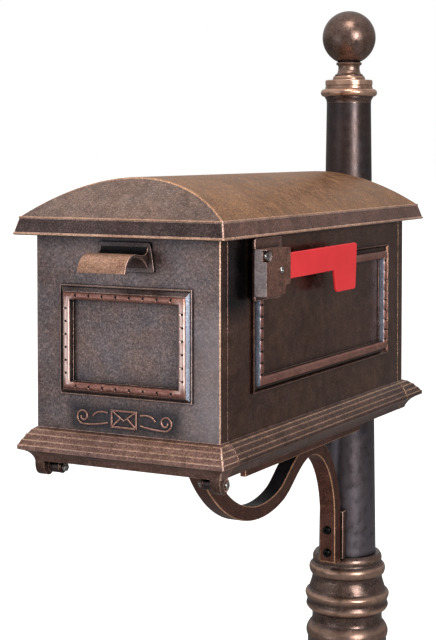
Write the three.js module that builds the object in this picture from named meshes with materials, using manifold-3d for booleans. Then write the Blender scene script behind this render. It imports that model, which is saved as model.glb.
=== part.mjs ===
// Kerbside mailbox on a turned post: a cast metal box with an arched roof, a front door hinged
// along its lower edge, a signal flag on the right-hand wall and a scroll bracket on the post.
// Millimetres, +Z up. The origin is on the ground at the post's axis and the door faces -Y.
import * as THREE from 'three';
import { mergeVertices } from 'three/addons/utils/BufferGeometryUtils.js';
import Module from 'manifold-3d';

const wasm = await Module();
wasm.setup();

// ---- driving dimensions -------------------------------------------------------------------
const GAP = 0.3;                 // clearance kept between neighbouring pieces
const ROUND = 32;                // sides of the large turned pieces
const SMALL_ROUND = 10;          // sides of the fasteners

const SILL_HEIGHT = 1120;        // ground to the foot of the box walls
const DOOR_TO_AXIS = 583;        // door face to the post's axis
const HALF_WIDTH = 111.3;        // box walls, outside
const DEPTH = 500;               // door face to back wall
const WALL_TOP = 207;
const WALL = 5;
const PAN = 15.7;                // depth of the door pan and of the back pan
const SKIRT_BOTTOM = -35.5;      // underside of the base moulding
const FLOOR = 4;

const BASE_OVERHANG = { side: 13.7, front: 19.5, back: 38.6 };
const ROOF_OVERHANG = { side: 15.7, front: 22.2, back: 33.8 };
const EAVE_BOTTOM = 207.4;
const EAVE_TOP = 227.3;
const EAVE_LEAN = 0.7;           // share of the overhang left at the eave's top
const ROOF_RISE = 42.3;
const ROOF_SHELL = 4.5;
const HIP_SLOPE = 0.95;          // run per rise of the sloping roof ends
const ROOF_INSIDE = 103.3;       // half-width of the opening below the roof

const FOOT = { low: 101, high: 112.3 };
const BRACKET = { low: 88, high: 99.5 };
const LEAF_SCREW = { x: 93.5, y: 33 };
const HINGE_Y = 12;
const HINGE_Z = -43;
const KNUCKLE_RADIUS = 7.2;
const PIN_RADIUS = 2.5;

const CHANNEL_HALF = 80;
const CHANNEL_TOP = -35.8;
const CHANNEL_WEB = 6;
const CHANNEL_FLANGE_BOTTOM = -57.6;
const CHANNEL_START = 118;
const CHANNEL_END = 470;
const CHANNEL_FLANGE = 7;
const FLANGE_END = 438;          // the channel's flanges stop short of its web
const SCROLL_BOLTS = [148, 441];
const BOLT_BORE = 4.3;
const SCREW_BORE = 2.3;
const LEG_BORE = 3.3;

// Fasteners, as [name, first coordinate, second coordinate].
const BOX_BOLTS = [
  ['front_left', -55, 175], ['front_right', 55, 175],
  ['rear_left', -55, 405], ['rear_right', 55, 405],
];
const BACK_SCREWS = [
  ['lower_left', -99, 30], ['lower_right', 99, 30],
  ['upper_left', -99, 180], ['upper_right', 99, 180],
];
const ROOF_SCREWS = [
  ['front_left', -99, 70], ['front_right', 99, 70],
  ['rear_left', -99, 430], ['rear_right', 99, 430],
];
const FLAG_SCREWS = [['front', 72, 187], ['rear', 104, 187]];
const HOUSING_SCREW = { y: 60, z: 188 };
const HANDLE_SCREW_X = 20;
const HANDLE_SCREW_Z = 196;

const FLAG_PIVOT = { y: 88, z: 172 };
const FLAG_THICK = 3.2;
const FLAG_X = 128.6;            // inner face, just clear of the eave when the flag stands up
const PLATE_X = 119.5;
const PLATE_THICK = 3;
const HOUSING_OUT = 136.9;
const POCKET_SEAT = 132;         // floor of the recess round the housing's screw

const SHAFT_TOP = 1479;
const SHAFT_BOTTOM = 866;
const SHAFT_TOP_RADIUS = 30;
const SHAFT_BOTTOM_RADIUS = 38.9;
const SHAFT_WALL = 4.4;
const BORE = 34;                 // bore of the lower column
const BASE_RADIUS = 115;
const BASE_THICK = 12;

// ---- materials ----------------------------------------------------------------------------
function finish(color, roughness, metalness) {
  return new THREE.MeshStandardMaterial({ color, roughness, metalness });
}
const copper = () => finish(0x5a4037, 0.5, 0.75);
const roofCopper = () => finish(0x8d6a50, 0.5, 0.75);
const paleCopper = () => finish(0xa9806c, 0.45, 0.8);
const darkCopper = () => finish(0x45342e, 0.45, 0.7);
const red = () => finish(0xc8322f, 0.4, 0.0);
const blackSteel = () => finish(0x1b1a1a, 0.35, 0.8);
const steel = () => finish(0xb9b6b0, 0.3, 1.0);
const magnetGrey = () => finish(0x3c3d40, 0.6, 0.3);

// ---- solids from three.js geometry --------------------------------------------------------
function toSolid(geometry) {
  const bare = geometry.clone();
  bare.deleteAttribute('normal');
  bare.deleteAttribute('uv');
  const welded = mergeVertices(bare, 1e-4);
  const index = welded.index.array;
  const position = welded.attributes.position;
  const triangles = [];
  let volume = 0;
  const [a, b, c] = [new THREE.Vector3(), new THREE.Vector3(), new THREE.Vector3()];
  for (let i = 0; i < index.length; i += 3) {
    const [p, q, r] = [index[i], index[i + 1], index[i + 2]];
    if (p === q || q === r || r === p) continue;
    triangles.push(p, q, r);
    a.fromBufferAttribute(position, p);
    b.fromBufferAttribute(position, q);
    c.fromBufferAttribute(position, r);
    volume += a.dot(b.cross(c));
  }
  if (volume < 0) triangles.reverse();
  const mesh = new wasm.Mesh({
    numProp: 3,
    vertProperties: new Float32Array(position.array),
    triVerts: new Uint32Array(triangles),
  });
  return new wasm.Manifold(mesh);
}

function toGeometry(body) {
  const mesh = body.getMesh();
  const geometry = new THREE.BufferGeometry();
  geometry.setAttribute('position', new THREE.BufferAttribute(mesh.vertProperties, 3));
  geometry.setIndex(new THREE.BufferAttribute(mesh.triVerts, 1));
  geometry.computeVertexNormals();
  return geometry;
}

function place(group, name, body, material) {
  const mesh = new THREE.Mesh(toGeometry(body), material);
  mesh.name = name;
  group.add(mesh);
}

function join(...bodies) {
  return bodies.reduce((whole, body) => whole.add(body));
}

function cut(body, ...tools) {
  return tools.reduce((left, tool) => left.subtract(tool), body);
}

// A box between two corners.
function block([x0, y0, z0], [x1, y1, z1]) {
  const geometry = new THREE.BoxGeometry(x1 - x0, y1 - y0, z1 - z0);
  geometry.translate((x0 + x1) / 2, (y0 + y1) / 2, (z0 + z1) / 2);
  return toSolid(geometry);
}

// Basis changes: a shape drawn in a plane and extruded across it.
const ALONG_X = new THREE.Matrix4().makeBasis(
  new THREE.Vector3(0, 1, 0), new THREE.Vector3(0, 0, 1), new THREE.Vector3(1, 0, 0));
const ALONG_Z = new THREE.Matrix4();

function extruded(shape, low, high, basis, curveSegments = 8) {
  const geometry = new THREE.ExtrudeGeometry(shape, {
    depth: high - low,
    bevelEnabled: false,
    curveSegments,
  });
  geometry.translate(0, 0, low);
  geometry.applyMatrix4(basis);
  return geometry;
}

function prismX(shape, low, high, segments) {
  return toSolid(extruded(shape, low, high, ALONG_X, segments));
}

// A solid of revolution about an axis; the profile is [radius, height] pairs.
function turned(profile, sides = ROUND, basis = ALONG_Z) {
  const points = profile.map(([radius, height]) => new THREE.Vector2(radius, height));
  const geometry = new THREE.LatheGeometry(points, sides);
  geometry.rotateX(Math.PI / 2);
  geometry.applyMatrix4(basis);
  return geometry;
}
const spun = (profile, sides, basis) => toSolid(turned(profile, sides, basis));

// A round bar along x, y or z, from low to high, about the given centre.
function rod(radius, low, high, basis, centre, sides = SMALL_ROUND) {
  const geometry = turned([[0, low], [radius, low], [radius, high], [0, high]], sides, basis);
  geometry.translate(...centre);
  return toSolid(geometry);
}

// A solid of revolution moved to its centre.
function turnedAt(profile, sides, basis, centre) {
  const geometry = turned(profile, sides, basis);
  geometry.translate(...centre);
  return toSolid(geometry);
}

// A rectangle between two corners, as a shape or as a hole.
function rectangle(x0, y0, x1, y1, Kind = THREE.Shape) {
  const path = new Kind();
  path.moveTo(x0, y0);
  path.lineTo(x1, y0);
  path.lineTo(x1, y1);
  path.lineTo(x0, y1);
  path.closePath();
  return path;
}

// A picture-frame outline: an outer rectangle with an inner one left out.
function frameShape(u0, v0, u1, v1, width) {
  const shape = rectangle(u0, v0, u1, v1);
  shape.holes.push(rectangle(u0 + width, v0 + width, u1 - width, v1 - width, THREE.Path));
  return shape;
}

// Stacked rectangles, [overhang, height] from bottom to top: a four-sided lathe of unit steps
// whose corners are then put where each overhang says.
function rectangularLoft(levels, overhang) {
  const key = levels.map(([reach, height]) => [1 + reach, height]);
  const geometry = turned([[0, key[0][1]], ...key, [0, key[key.length - 1][1]]], 4);
  const position = geometry.attributes.position;
  for (let i = 0; i < position.count; i += 1) {
    const [x, y] = [position.getX(i), position.getY(i)];
    const radius = Math.hypot(x, y);
    if (radius < 0.5) {
      position.setXY(i, 0, DEPTH / 2);
      continue;
    }
    const reach = radius - 1;
    const corner = Math.round(Math.atan2(y, x) / (Math.PI / 2));
    const [sx, sy] = [[1, 1], [-1, 1], [-1, -1], [1, -1]][(corner + 4) % 4];
    const side = HALF_WIDTH + overhang.side * reach;
    const back = DEPTH + overhang.back * reach;
    const front = -overhang.front * reach;
    position.setXY(i, sx * side, sy > 0 ? back : front);
  }
  return toSolid(geometry);
}

// ---- fasteners ----------------------------------------------------------------------------
// The head sits at height 0 and above; the shank runs down to -length.
function domeScrew(head, dome, shank, length) {
  return [
    [0, -length], [shank, -length], [shank, 0], [head, 0], [head * 0.75, dome], [0, dome],
  ];
}

const FLIP_Z = new THREE.Matrix4().makeRotationX(Math.PI);
const FACE_FRONT = new THREE.Matrix4().makeRotationX(Math.PI / 2);
const FACE_BACK = new THREE.Matrix4().makeRotationX(-Math.PI / 2);
const FACE_RIGHT = new THREE.Matrix4().makeRotationY(Math.PI / 2);
const FACE_LEFT = new THREE.Matrix4().makeRotationY(-Math.PI / 2);

function hexNut(radius, bore, thick, basis, centre) {
  const profile = [[bore, 0], [radius, 0], [radius, thick], [bore, thick], [bore, 0]];
  const geometry = turned(profile, 6, basis);
  geometry.translate(...centre);
  return toSolid(geometry);
}

// ---- post ---------------------------------------------------------------------------------
const shaftRadiusAt = (z) => SHAFT_BOTTOM_RADIUS
  + (SHAFT_TOP_RADIUS - SHAFT_BOTTOM_RADIUS) * (z - SHAFT_BOTTOM) / (SHAFT_TOP - SHAFT_BOTTOM);
const LEG_SCREW_HEIGHTS = [908, 877.5];
const LEG_FRONT = 515;           // front face of the bracket's leg, from the door face
const LEG_FOOT = 862;
const SLEEVE = { radius: 33.4, bore: 28, low: 760, high: 960 };

function legScrewHoles() {
  const front = DOOR_TO_AXIS - LEG_FRONT;
  const holes = LEG_SCREW_HEIGHTS.map(
    (z) => rod(LEG_BORE, front - 60, front + 10, FACE_FRONT, [0, 0, z]));
  return join(...holes);
}

function groundFlange() {
  const disc = spun([
    [0, 0], [BASE_RADIUS, 0], [BASE_RADIUS, BASE_THICK - 3], [BASE_RADIUS - 3, BASE_THICK],
    [BORE - GAP, BASE_THICK], [BORE - GAP, 90], [BORE - 5, 90], [BORE - 5, BASE_THICK], [0, BASE_THICK],
  ]);
  const anchorCircle = 97;
  const holes = [45, 135, 225, 315].map((angle) => {
    const turn = THREE.MathUtils.degToRad(angle);
    const centre = [anchorCircle * Math.cos(turn), anchorCircle * Math.sin(turn), 0];
    return rod(6.5, -1, BASE_THICK + 1, ALONG_Z, centre);
  });
  return cut(disc, ...holes);
}

// Turned rings below the shaft, then a tapering column on a moulded foot.
function lowerColumn() {
  const foot = BASE_THICK + GAP;
  const top = SHAFT_BOTTOM - 0.4;
  return spun([
    [BORE, foot], [84, foot], [84, foot + 16], [77, foot + 26], [80, foot + 42], [70, foot + 62],
    [62, foot + 76], [66, foot + 100], [60, 138], [54, 748], [56, 757], [52, 766.5],
    [47.9, 773], [47.9, 781], [56.2, 792], [54.9, 799.2], [57.4, 807.5], [51.5, 816.5],
    [48, 830], [52.1, 843.7], [47, 852.5], [47.4, 858], [44, top], [BORE, top], [BORE, foot],
  ], 32);
}

function postShaft() {
  const inside = (z) => shaftRadiusAt(z) - SHAFT_WALL;
  const tube = spun([
    [inside(SHAFT_BOTTOM), SHAFT_BOTTOM], [SHAFT_BOTTOM_RADIUS, SHAFT_BOTTOM],
    [SHAFT_TOP_RADIUS, SHAFT_TOP], [inside(SHAFT_TOP), SHAFT_TOP],
    [inside(SHAFT_BOTTOM), SHAFT_BOTTOM],
  ]);
  return cut(tube, legScrewHoles());
}

function couplingSleeve() {
  const { radius, bore, low, high } = SLEEVE;
  const taperStart = SHAFT_BOTTOM;
  const topRadius = shaftRadiusAt(high) - SHAFT_WALL - GAP;
  const tube = spun([
    [bore, low], [radius, low], [radius, taperStart], [topRadius, high], [bore, high], [bore, low],
  ], 24);
  return cut(tube, legScrewHoles());
}

// Collar on top of the shaft: cavetto, torus, disc and a small flange, bored for the finial.
function postCap() {
  const seat = SHAFT_TOP + GAP;
  const spigot = SHAFT_TOP_RADIUS - SHAFT_WALL - GAP - 0.4;
  const bore = 8;
  return spun([
    [bore, seat - 40], [spigot, seat - 40], [spigot, seat], [30.2, seat], [32.7, 1487.8],
    [36.4, 1489], [38.2, 1494], [36.4, 1499], [32, 1500.4], [32, 1511], [21.9, 1511.5],
    [21.9, 1516.5], [bore, 1516.5], [bore, seat - 40],
  ], 28);
}

function ballFinial() {
  const seat = 1516.8;
  const centre = 1568.5;
  const radius = 36;
  const ball = [];
  const steps = 9;
  const start = THREE.MathUtils.degToRad(-65);
  for (let i = 0; i <= steps; i += 1) {
    const angle = start + (Math.PI / 2 - start) * i / steps;
    ball.push([i === steps ? 0 : radius * Math.cos(angle), centre + radius * Math.sin(angle)]);
  }
  return spun([
    [0, seat - 30], [7.5, seat - 30], [7.5, seat], [16, seat], [14.4, 1524], [14.4, 1530.5],
    [17.5, 1532.2], [17.5, 1535.2], ...ball,
  ], 28);
}

// ---- bracket ------------------------------------------------------------------------------
// The bracket and the box are laid out from the foot of the door face.
const AXIS = DOOR_TO_AXIS;
const LEG_SCREWS = LEG_SCREW_HEIGHTS.map((z) => z - SILL_HEIGHT);
const SCROLL_TOP = CHANNEL_TOP - CHANNEL_WEB - GAP;

function scrollOutline() {
  const outer = { y: 300, z: 38.6, radius: 187.3 };
  const inner = { y: 299.5, z: 12.9, radius: 144.8 };
  const angleAt = (arc, y, z) => Math.atan2(z - arc.z, y - arc.y);
  const endAt = (arc) => arc.y - Math.sqrt(arc.radius ** 2 - (SCROLL_TOP - arc.z) ** 2);
  const crest = 443;
  const foot = LEG_FOOT - SILL_HEIGHT;
  const shape = new THREE.Shape();
  shape.moveTo(endAt(outer), SCROLL_TOP);
  shape.absarc(outer.y, outer.z, outer.radius, angleAt(outer, endAt(outer), SCROLL_TOP),
    angleAt(outer, 362, -138), false);
  shape.bezierCurveTo(385, -130, 412, -97.5, crest, -97.5);
  shape.absellipse(crest, -195, 515 - crest, 97.5, Math.PI / 2, 0, true);
  shape.lineTo(515, foot + 3);
  shape.lineTo(518, foot);
  shape.lineTo(535, foot);
  shape.lineTo(535, -205);
  shape.absellipse(crest, -205, 535 - crest, 127, 0, Math.PI / 2, false);
  shape.bezierCurveTo(398, -80, 370, -115, 350, -122.6);
  shape.absarc(inner.y, inner.z, inner.radius, angleAt(inner, 350, -122.6),
    angleAt(inner, endAt(inner), SCROLL_TOP), true);
  shape.closePath();
  return shape;
}

// The bar is widest at its leg and narrows towards its front end.
function scrollHalfWidth(y) {
  const share = THREE.MathUtils.clamp((y - 150) / (515 - 150), 0, 1);
  return THREE.MathUtils.lerp(8.8, 11.2, share);
}

function scrollBracket() {
  const bar = extruded(scrollOutline(), -1, 1, ALONG_X, 12);
  const position = bar.attributes.position;
  for (let i = 0; i < position.count; i += 1) {
    position.setX(i, position.getX(i) * scrollHalfWidth(position.getY(i)));
  }
  const pedestal = block([-10, 414, -92], [10, 468, SCROLL_TOP]);
  const legHoles = LEG_SCREWS.map((z) => rod(LEG_BORE, -540, -510, FACE_FRONT, [0, 0, z]));
  const boltHoles = SCROLL_BOLTS.map((y) => rod(BOLT_BORE, -31, 5, ALONG_Z, [0, y, SCROLL_TOP]));
  return cut(join(toSolid(bar), pedestal), ...legHoles, ...boltHoles);
}

// A saddle between the bracket's leg and the round shaft.
function bracketPad() {
  const pad = block([-14, 535 + GAP, -254], [14, 560, -190]);
  const [low, high] = [800, 1000];
  const shaft = spun([
    [0, low], [shaftRadiusAt(low) + GAP, low], [shaftRadiusAt(high) + GAP, high], [0, high],
  ]);
  const holes = LEG_SCREWS.map((z) => rod(LEG_BORE, -570, -530, FACE_FRONT, [0, 0, z]));
  return cut(pad, shaft.translate([0, AXIS, -SILL_HEIGHT]), ...holes);
}

function mountingChannel() {
  const webBottom = CHANNEL_TOP - CHANNEL_WEB;
  const inside = CHANNEL_HALF - CHANNEL_FLANGE;
  const whole = block(
    [-CHANNEL_HALF, CHANNEL_START, CHANNEL_FLANGE_BOTTOM],
    [CHANNEL_HALF, CHANNEL_END, CHANNEL_TOP]);
  const hollow = block(
    [-inside, CHANNEL_START - 1, CHANNEL_FLANGE_BOTTOM - 1],
    [inside, CHANNEL_END + 1, webBottom]);
  const tail = block(
    [-CHANNEL_HALF - 1, FLANGE_END, CHANNEL_FLANGE_BOTTOM - 1],
    [CHANNEL_HALF + 1, CHANNEL_END + 1, webBottom]);
  const centres = [...SCROLL_BOLTS.map((y) => [0, y]), ...BOX_BOLTS.map(([, x, y]) => [x, y])];
  const holes = centres.map(([x, y]) => rod(BOLT_BORE, -10, 10, ALONG_Z, [x, y, CHANNEL_TOP]));
  return cut(whole, hollow, tail, ...holes);
}

// ---- box ----------------------------------------------------------------------------------
const FLOOR_TOP = SKIRT_BOTTOM + FLOOR;
const SEAM_FRONT = PAN + 0.3;
const SEAM_BACK = DEPTH - PAN;

// Walls with the stepped base moulding around their foot, solid through.
function casing() {
  const moulding = rectangularLoft([
    [0.15, SKIRT_BOTTOM], [0.2, -33], [0.42, -26.5], [0.9, -22.2], [1, -21.6], [1, -17.2],
    [0.9, -16.6], [0.78, -11.6], [0.7, -11], [0.55, -5.9], [0.46, -5.3], [0.3, -1.8], [0.1, 0.4],
  ], BASE_OVERHANG);
  const walls = block([-HALF_WIDTH, 0, -8], [HALF_WIDTH, DEPTH, WALL_TOP]);
  return join(moulding, walls);
}

function sideSlab(side, y0, y1) {
  const reach = HALF_WIDTH + 60;
  const [low, high] = side < 0 ? [-reach, 0] : [0, reach];
  return block([low, y0, -60], [high, y1, 240]);
}

// A raised thin bead, a bold bar inside it and a panel sunk a little below the wall.
function sideFrame(side) {
  const face = HALF_WIDTH;
  const bead = prismX(frameShape(70, 42, 445, 179, 4), face - 1, face + 3);
  const bar = prismX(frameShape(78, 49.5, 432, 171.5, 9), face - 1, face + 7);
  const raised = join(bead, bar);
  return side > 0 ? raised : raised.mirror([1, 0, 0]);
}

function sidePanel(side, shell) {
  const inner = HALF_WIDTH - WALL;
  const end = SEAM_BACK - GAP;
  const room = block([-inner, SEAM_FRONT - 1, -60], [inner, end + 1, 240]);
  const sunk = block([HALF_WIDTH - 2, 87, 58.5], [HALF_WIDTH + 1, 423, 162.5]);
  const wall = cut(shell.intersect(sideSlab(side, SEAM_FRONT, end)), room);
  const lip = block([inner - 14, 40, WALL_TOP - 4], [inner + 1, 470, WALL_TOP]);
  const post = block([inner - 14, end - 4, 12], [inner + 1, end, 196]);
  const holes = [];
  for (const [, x, y] of ROOF_SCREWS) {
    if (Math.sign(x) !== side) continue;
    holes.push(rod(SCREW_BORE, -10, 10, ALONG_Z, [x, y, WALL_TOP]));
  }
  for (const [, x, z] of BACK_SCREWS) {
    if (Math.sign(x) !== side) continue;
    holes.push(rod(SCREW_BORE, -(end + 6), -(end - 8), FACE_FRONT, [x, 0, z]));
  }
  const flanges = join(lip, post);
  const mirrored = (body) => (side > 0 ? body : body.mirror([1, 0, 0]));
  const panel = join(cut(wall, mirrored(sunk)), mirrored(flanges), sideFrame(side));
  if (side > 0) holes.push(...flagScrewHoles(SCREW_BORE));
  return cut(panel, ...holes);
}

function backPanel(shell) {
  const inner = HALF_WIDTH - WALL;
  const whole = shell.intersect(block([-200, SEAM_BACK, -60], [200, DEPTH + 80, 240]));
  const room = block([-inner, SEAM_BACK - 1, -60], [inner, DEPTH - WALL, 240]);
  const sill = block([-inner - 1, SEAM_BACK, SKIRT_BOTTOM], [inner + 1, DEPTH, FLOOR_TOP]);
  const ears = [];
  const holes = [];
  for (const [, x, z] of BACK_SCREWS) {
    const [low, high] = x < 0 ? [-inner - 1, -inner + 14] : [inner - 14, inner + 1];
    ears.push(block([low, SEAM_BACK, z - 9], [high, DEPTH - 2, z + 9]));
    holes.push(rod(SCREW_BORE, -(SEAM_BACK + 11), -(SEAM_BACK - 1), FACE_FRONT, [x, 0, z]));
  }
  return cut(join(cut(whole, room), sill, ...ears), ...holes);
}

function floorPlate() {
  const inner = HALF_WIDTH - WALL - GAP;
  const plate = block([-inner, SEAM_FRONT + 0.5, SKIRT_BOTTOM], [inner, SEAM_BACK - GAP, FLOOR_TOP]);
  const holes = [
    ...SCROLL_BOLTS.map((y) => rod(BOLT_BORE, -1, 6, ALONG_Z, [0, y, SKIRT_BOTTOM])),
    ...BOX_BOLTS.map(([, x, y]) => rod(BOLT_BORE, -1, 6, ALONG_Z, [x, y, SKIRT_BOTTOM])),
    ...[-1, 1].map((side) => {
      const centre = [side * LEAF_SCREW.x, LEAF_SCREW.y, SKIRT_BOTTOM];
      return rod(SCREW_BORE, -1, 6, ALONG_Z, centre);
    }),
  ];
  return cut(plate, ...holes);
}

// Arched roof with sloping ends; its eave leans outwards towards its lower edge.
function roofVault(halfChord, rise, base, endFront, endBack, slope) {
  const radius = (halfChord ** 2 + rise ** 2) / (2 * rise);
  const centre = base + rise - radius;
  const edge = Math.asin(halfChord / radius);
  const arch = new THREE.Shape();
  arch.absarc(0, centre, radius, Math.PI / 2 - edge, Math.PI / 2 + edge, false);
  arch.lineTo(-halfChord, base - 1);
  arch.lineTo(halfChord, base - 1);
  arch.closePath();
  const barrel = new THREE.ExtrudeGeometry(arch, {
    depth: 700,
    bevelEnabled: false,
    curveSegments: 28,
  });
  barrel.rotateX(Math.PI / 2);
  barrel.translate(0, 600, 0);
  const top = rise + 10;
  const ends = new THREE.Shape();
  ends.moveTo(endFront - slope, base - 1);
  ends.lineTo(endBack + slope, base - 1);
  ends.lineTo(endBack - slope * top, base + top);
  ends.lineTo(endFront + slope * top, base + top);
  ends.closePath();
  return toSolid(barrel).intersect(prismX(ends, -200, 200));
}

function roof() {
  const lip = EAVE_BOTTOM + 1.5;
  const eave = rectangularLoft([
    [1, EAVE_BOTTOM], [1, lip], [0.999, lip + 0.1], [EAVE_LEAN, EAVE_TOP],
  ], ROOF_OVERHANG);
  const half = HALF_WIDTH + EAVE_LEAN * ROOF_OVERHANG.side;
  const front = -EAVE_LEAN * ROOF_OVERHANG.front;
  const back = DEPTH + EAVE_LEAN * ROOF_OVERHANG.back;
  const step = 0.2;
  const outer = roofVault(half - step, ROOF_RISE, EAVE_TOP, front + step, back - step, HIP_SLOPE);
  const thick = 8;
  const room = ROOF_RISE - ROOF_SHELL - 1;
  const inner = roofVault(half - thick, room, EAVE_TOP, front + thick, back - thick, HIP_SLOPE);
  const opening = block([-ROOF_INSIDE + 12, 34, 180], [ROOF_INSIDE - 12, 474, EAVE_TOP]);
  const holes = ROOF_SCREWS.map(([, x, y]) => rod(SCREW_BORE, -1, 12, ALONG_Z, [x, y, EAVE_BOTTOM]));
  return cut(join(eave, outer), inner, opening, ...holes);
}

// ---- hinge --------------------------------------------------------------------------------
function hingeBracket(side) {
  const [low, high] = side > 0 ? [BRACKET.low, BRACKET.high] : [-BRACKET.high, -BRACKET.low];
  const shape = new THREE.Shape();
  const radius = 6.5;
  shape.moveTo(HINGE_Y, HINGE_Z - radius);
  shape.lineTo(24, -40.2);
  shape.lineTo(44, -40.2);
  shape.lineTo(44, SKIRT_BOTTOM - GAP);
  shape.lineTo(18.5, SKIRT_BOTTOM - GAP);
  shape.lineTo(HINGE_Y + 4, HINGE_Z + 5.1);
  shape.absarc(HINGE_Y, HINGE_Z, radius, Math.atan2(5.1, 4), -Math.PI / 2, false);
  const body = prismX(shape, low, high, 10);
  const pinHole = rod(PIN_RADIUS + GAP, low - 1, high + 1, FACE_RIGHT, [0, HINGE_Y, HINGE_Z]);
  const screwCentre = [side * LEAF_SCREW.x, LEAF_SCREW.y, SKIRT_BOTTOM];
  return cut(body, pinHole, rod(SCREW_BORE, -10, 2, ALONG_Z, screwCentre));
}

// A cast foot that curls round the hinge pin, open towards the front.
function hingeFoot(side) {
  const [low, high] = side > 0 ? [FOOT.low, FOOT.high] : [-FOOT.high, -FOOT.low];
  const curl = rod(KNUCKLE_RADIUS, low, high, FACE_RIGHT, [0, HINGE_Y, HINGE_Z], 20);
  const web = new THREE.Shape();
  web.moveTo(-3, SKIRT_BOTTOM + 2);
  web.lineTo(-3, SKIRT_BOTTOM - 2);
  web.quadraticCurveTo(-2, HINGE_Z - 7.5, HINGE_Y - 5, HINGE_Z - 9);
  web.quadraticCurveTo(HINGE_Y + 2, HINGE_Z - 10, HINGE_Y + 2, HINGE_Z - 6);
  web.lineTo(HINGE_Y + 3, SKIRT_BOTTOM + 2);
  web.closePath();
  const pinHole = rod(PIN_RADIUS + GAP, low - 1, high + 1, FACE_RIGHT, [0, HINGE_Y, HINGE_Z]);
  return cut(join(prismX(web, low, high, 8), curl), pinHole);
}

function hingePin(side) {
  const profile = [
    [0, 80.2], [PIN_RADIUS, 80.2], [PIN_RADIUS, 112.6],
    [4, 112.6], [4, 113.6], [2.6, 114.6], [0, 114.6],
  ];
  const outward = side > 0 ? FACE_RIGHT : FACE_LEFT;
  return turnedAt(profile, SMALL_ROUND, outward, [0, HINGE_Y, HINGE_Z]);
}

// ---- door ---------------------------------------------------------------------------------
function doorPanel(shell) {
  const inner = HALF_WIDTH - WALL;
  const top = WALL_TOP - 0.4;
  const whole = shell.intersect(block([-200, -80, -60], [200, PAN - 0.3, top]));
  const room = block([-inner, WALL, FLOOR_TOP], [inner, PAN + 1, top - 4]);
  const bead = frameShape(-80, 39, 80, 156, 6);
  const bar = frameShape(-74, 45, 74, 148, 8);
  const onFace = (shape, relief) => {
    const geometry = new THREE.ExtrudeGeometry(shape, { depth: relief + 1, bevelEnabled: false });
    geometry.rotateX(Math.PI / 2);
    geometry.translate(0, 1, 0);
    return toSolid(geometry);
  };
  const sunk = block([-66, -1, 53], [66, 2, 140]);
  const screwHoles = [-1, 1].map(
    (side) => rod(SCREW_BORE, -8, 2, FACE_FRONT, [side * HANDLE_SCREW_X, 0, HANDLE_SCREW_Z]));
  const feet = [hingeFoot(-1), hingeFoot(1)];
  const face = join(cut(whole, room, sunk), onFace(bead, 3), onFace(bar, 7), ...feet);
  const pinHoles = [-1, 1].map((side) => {
    const ends = [side * (FOOT.low - 1), side * (FOOT.high + 1)];
    const [low, high] = [Math.min(...ends), Math.max(...ends)];
    return rod(PIN_RADIUS + GAP, low, high, FACE_RIGHT, [0, HINGE_Y, HINGE_Z]);
  });
  return cut(face, ...screwHoles, ...pinHoles);
}

// Pull with a hollow above and an arch below, on a plate that widens downwards.
function doorHandle() {
  const face = -GAP;
  const profile = new THREE.Shape();
  profile.moveTo(face, 200);
  profile.lineTo(-2.6, 199.4);
  profile.quadraticCurveTo(-2.6, 190.4, -11, 190);
  profile.bezierCurveTo(-20, 189.6, -24, 192, -28, 191.8);
  profile.bezierCurveTo(-40, 191, -46.5, 184, -48.2, 172.8);
  profile.lineTo(-45.2, 172.6);
  profile.bezierCurveTo(-43.5, 182, -38, 188.4, -27, 188.6);
  profile.bezierCurveTo(-16, 188.6, -8, 183, -3, 176);
  profile.lineTo(face, 173);
  profile.closePath();
  const pull = prismX(profile, -28.5, 28.5, 8);
  const plate = new THREE.Shape();
  plate.moveTo(-31, 202.6);
  plate.lineTo(-36, 171.2);
  plate.lineTo(36, 171.2);
  plate.lineTo(31, 202.6);
  plate.closePath();
  const back = new THREE.ExtrudeGeometry(plate, { depth: 2.4, bevelEnabled: false });
  back.rotateX(Math.PI / 2);
  back.translate(0, face, 0);
  const holes = [-1, 1].map(
    (side) => rod(1.9, -1, 2.4, FACE_FRONT, [side * HANDLE_SCREW_X, 0, HANDLE_SCREW_Z]));
  return cut(join(pull, toSolid(back)), ...holes);
}

// ---- flag ---------------------------------------------------------------------------------
function flagScrewHoles(radius) {
  const [low, high] = [HALF_WIDTH - 8, PLATE_X + PLATE_THICK + 2];
  return FLAG_SCREWS.map(([, y, z]) => rod(radius, low, high, FACE_RIGHT, [0, y, z]));
}

function pivotHole(radius) {
  return rod(radius, PLATE_X - 2, HOUSING_OUT + 2, FACE_RIGHT, [0, FLAG_PIVOT.y, FLAG_PIVOT.z]);
}

function housingScrewHole(radius) {
  return rod(radius, PLATE_X - 2, HOUSING_OUT + 2, FACE_RIGHT, [0, HOUSING_SCREW.y, HOUSING_SCREW.z]);
}

function flagBackplate() {
  const plate = block([PLATE_X, 55.5, 141], [PLATE_X + PLATE_THICK, 119, 206]);
  return cut(plate, ...flagScrewHoles(SCREW_BORE), pivotHole(3.3), housingScrewHole(SCREW_BORE));
}

function flagSpacer(y, z) {
  return turnedAt([
    [2.4, HALF_WIDTH + GAP], [6, HALF_WIDTH + GAP], [6, PLATE_X - GAP],
    [2.4, PLATE_X - GAP], [2.4, HALF_WIDTH + GAP],
  ], SMALL_ROUND, FACE_RIGHT, [0, y, z]);
}

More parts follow.
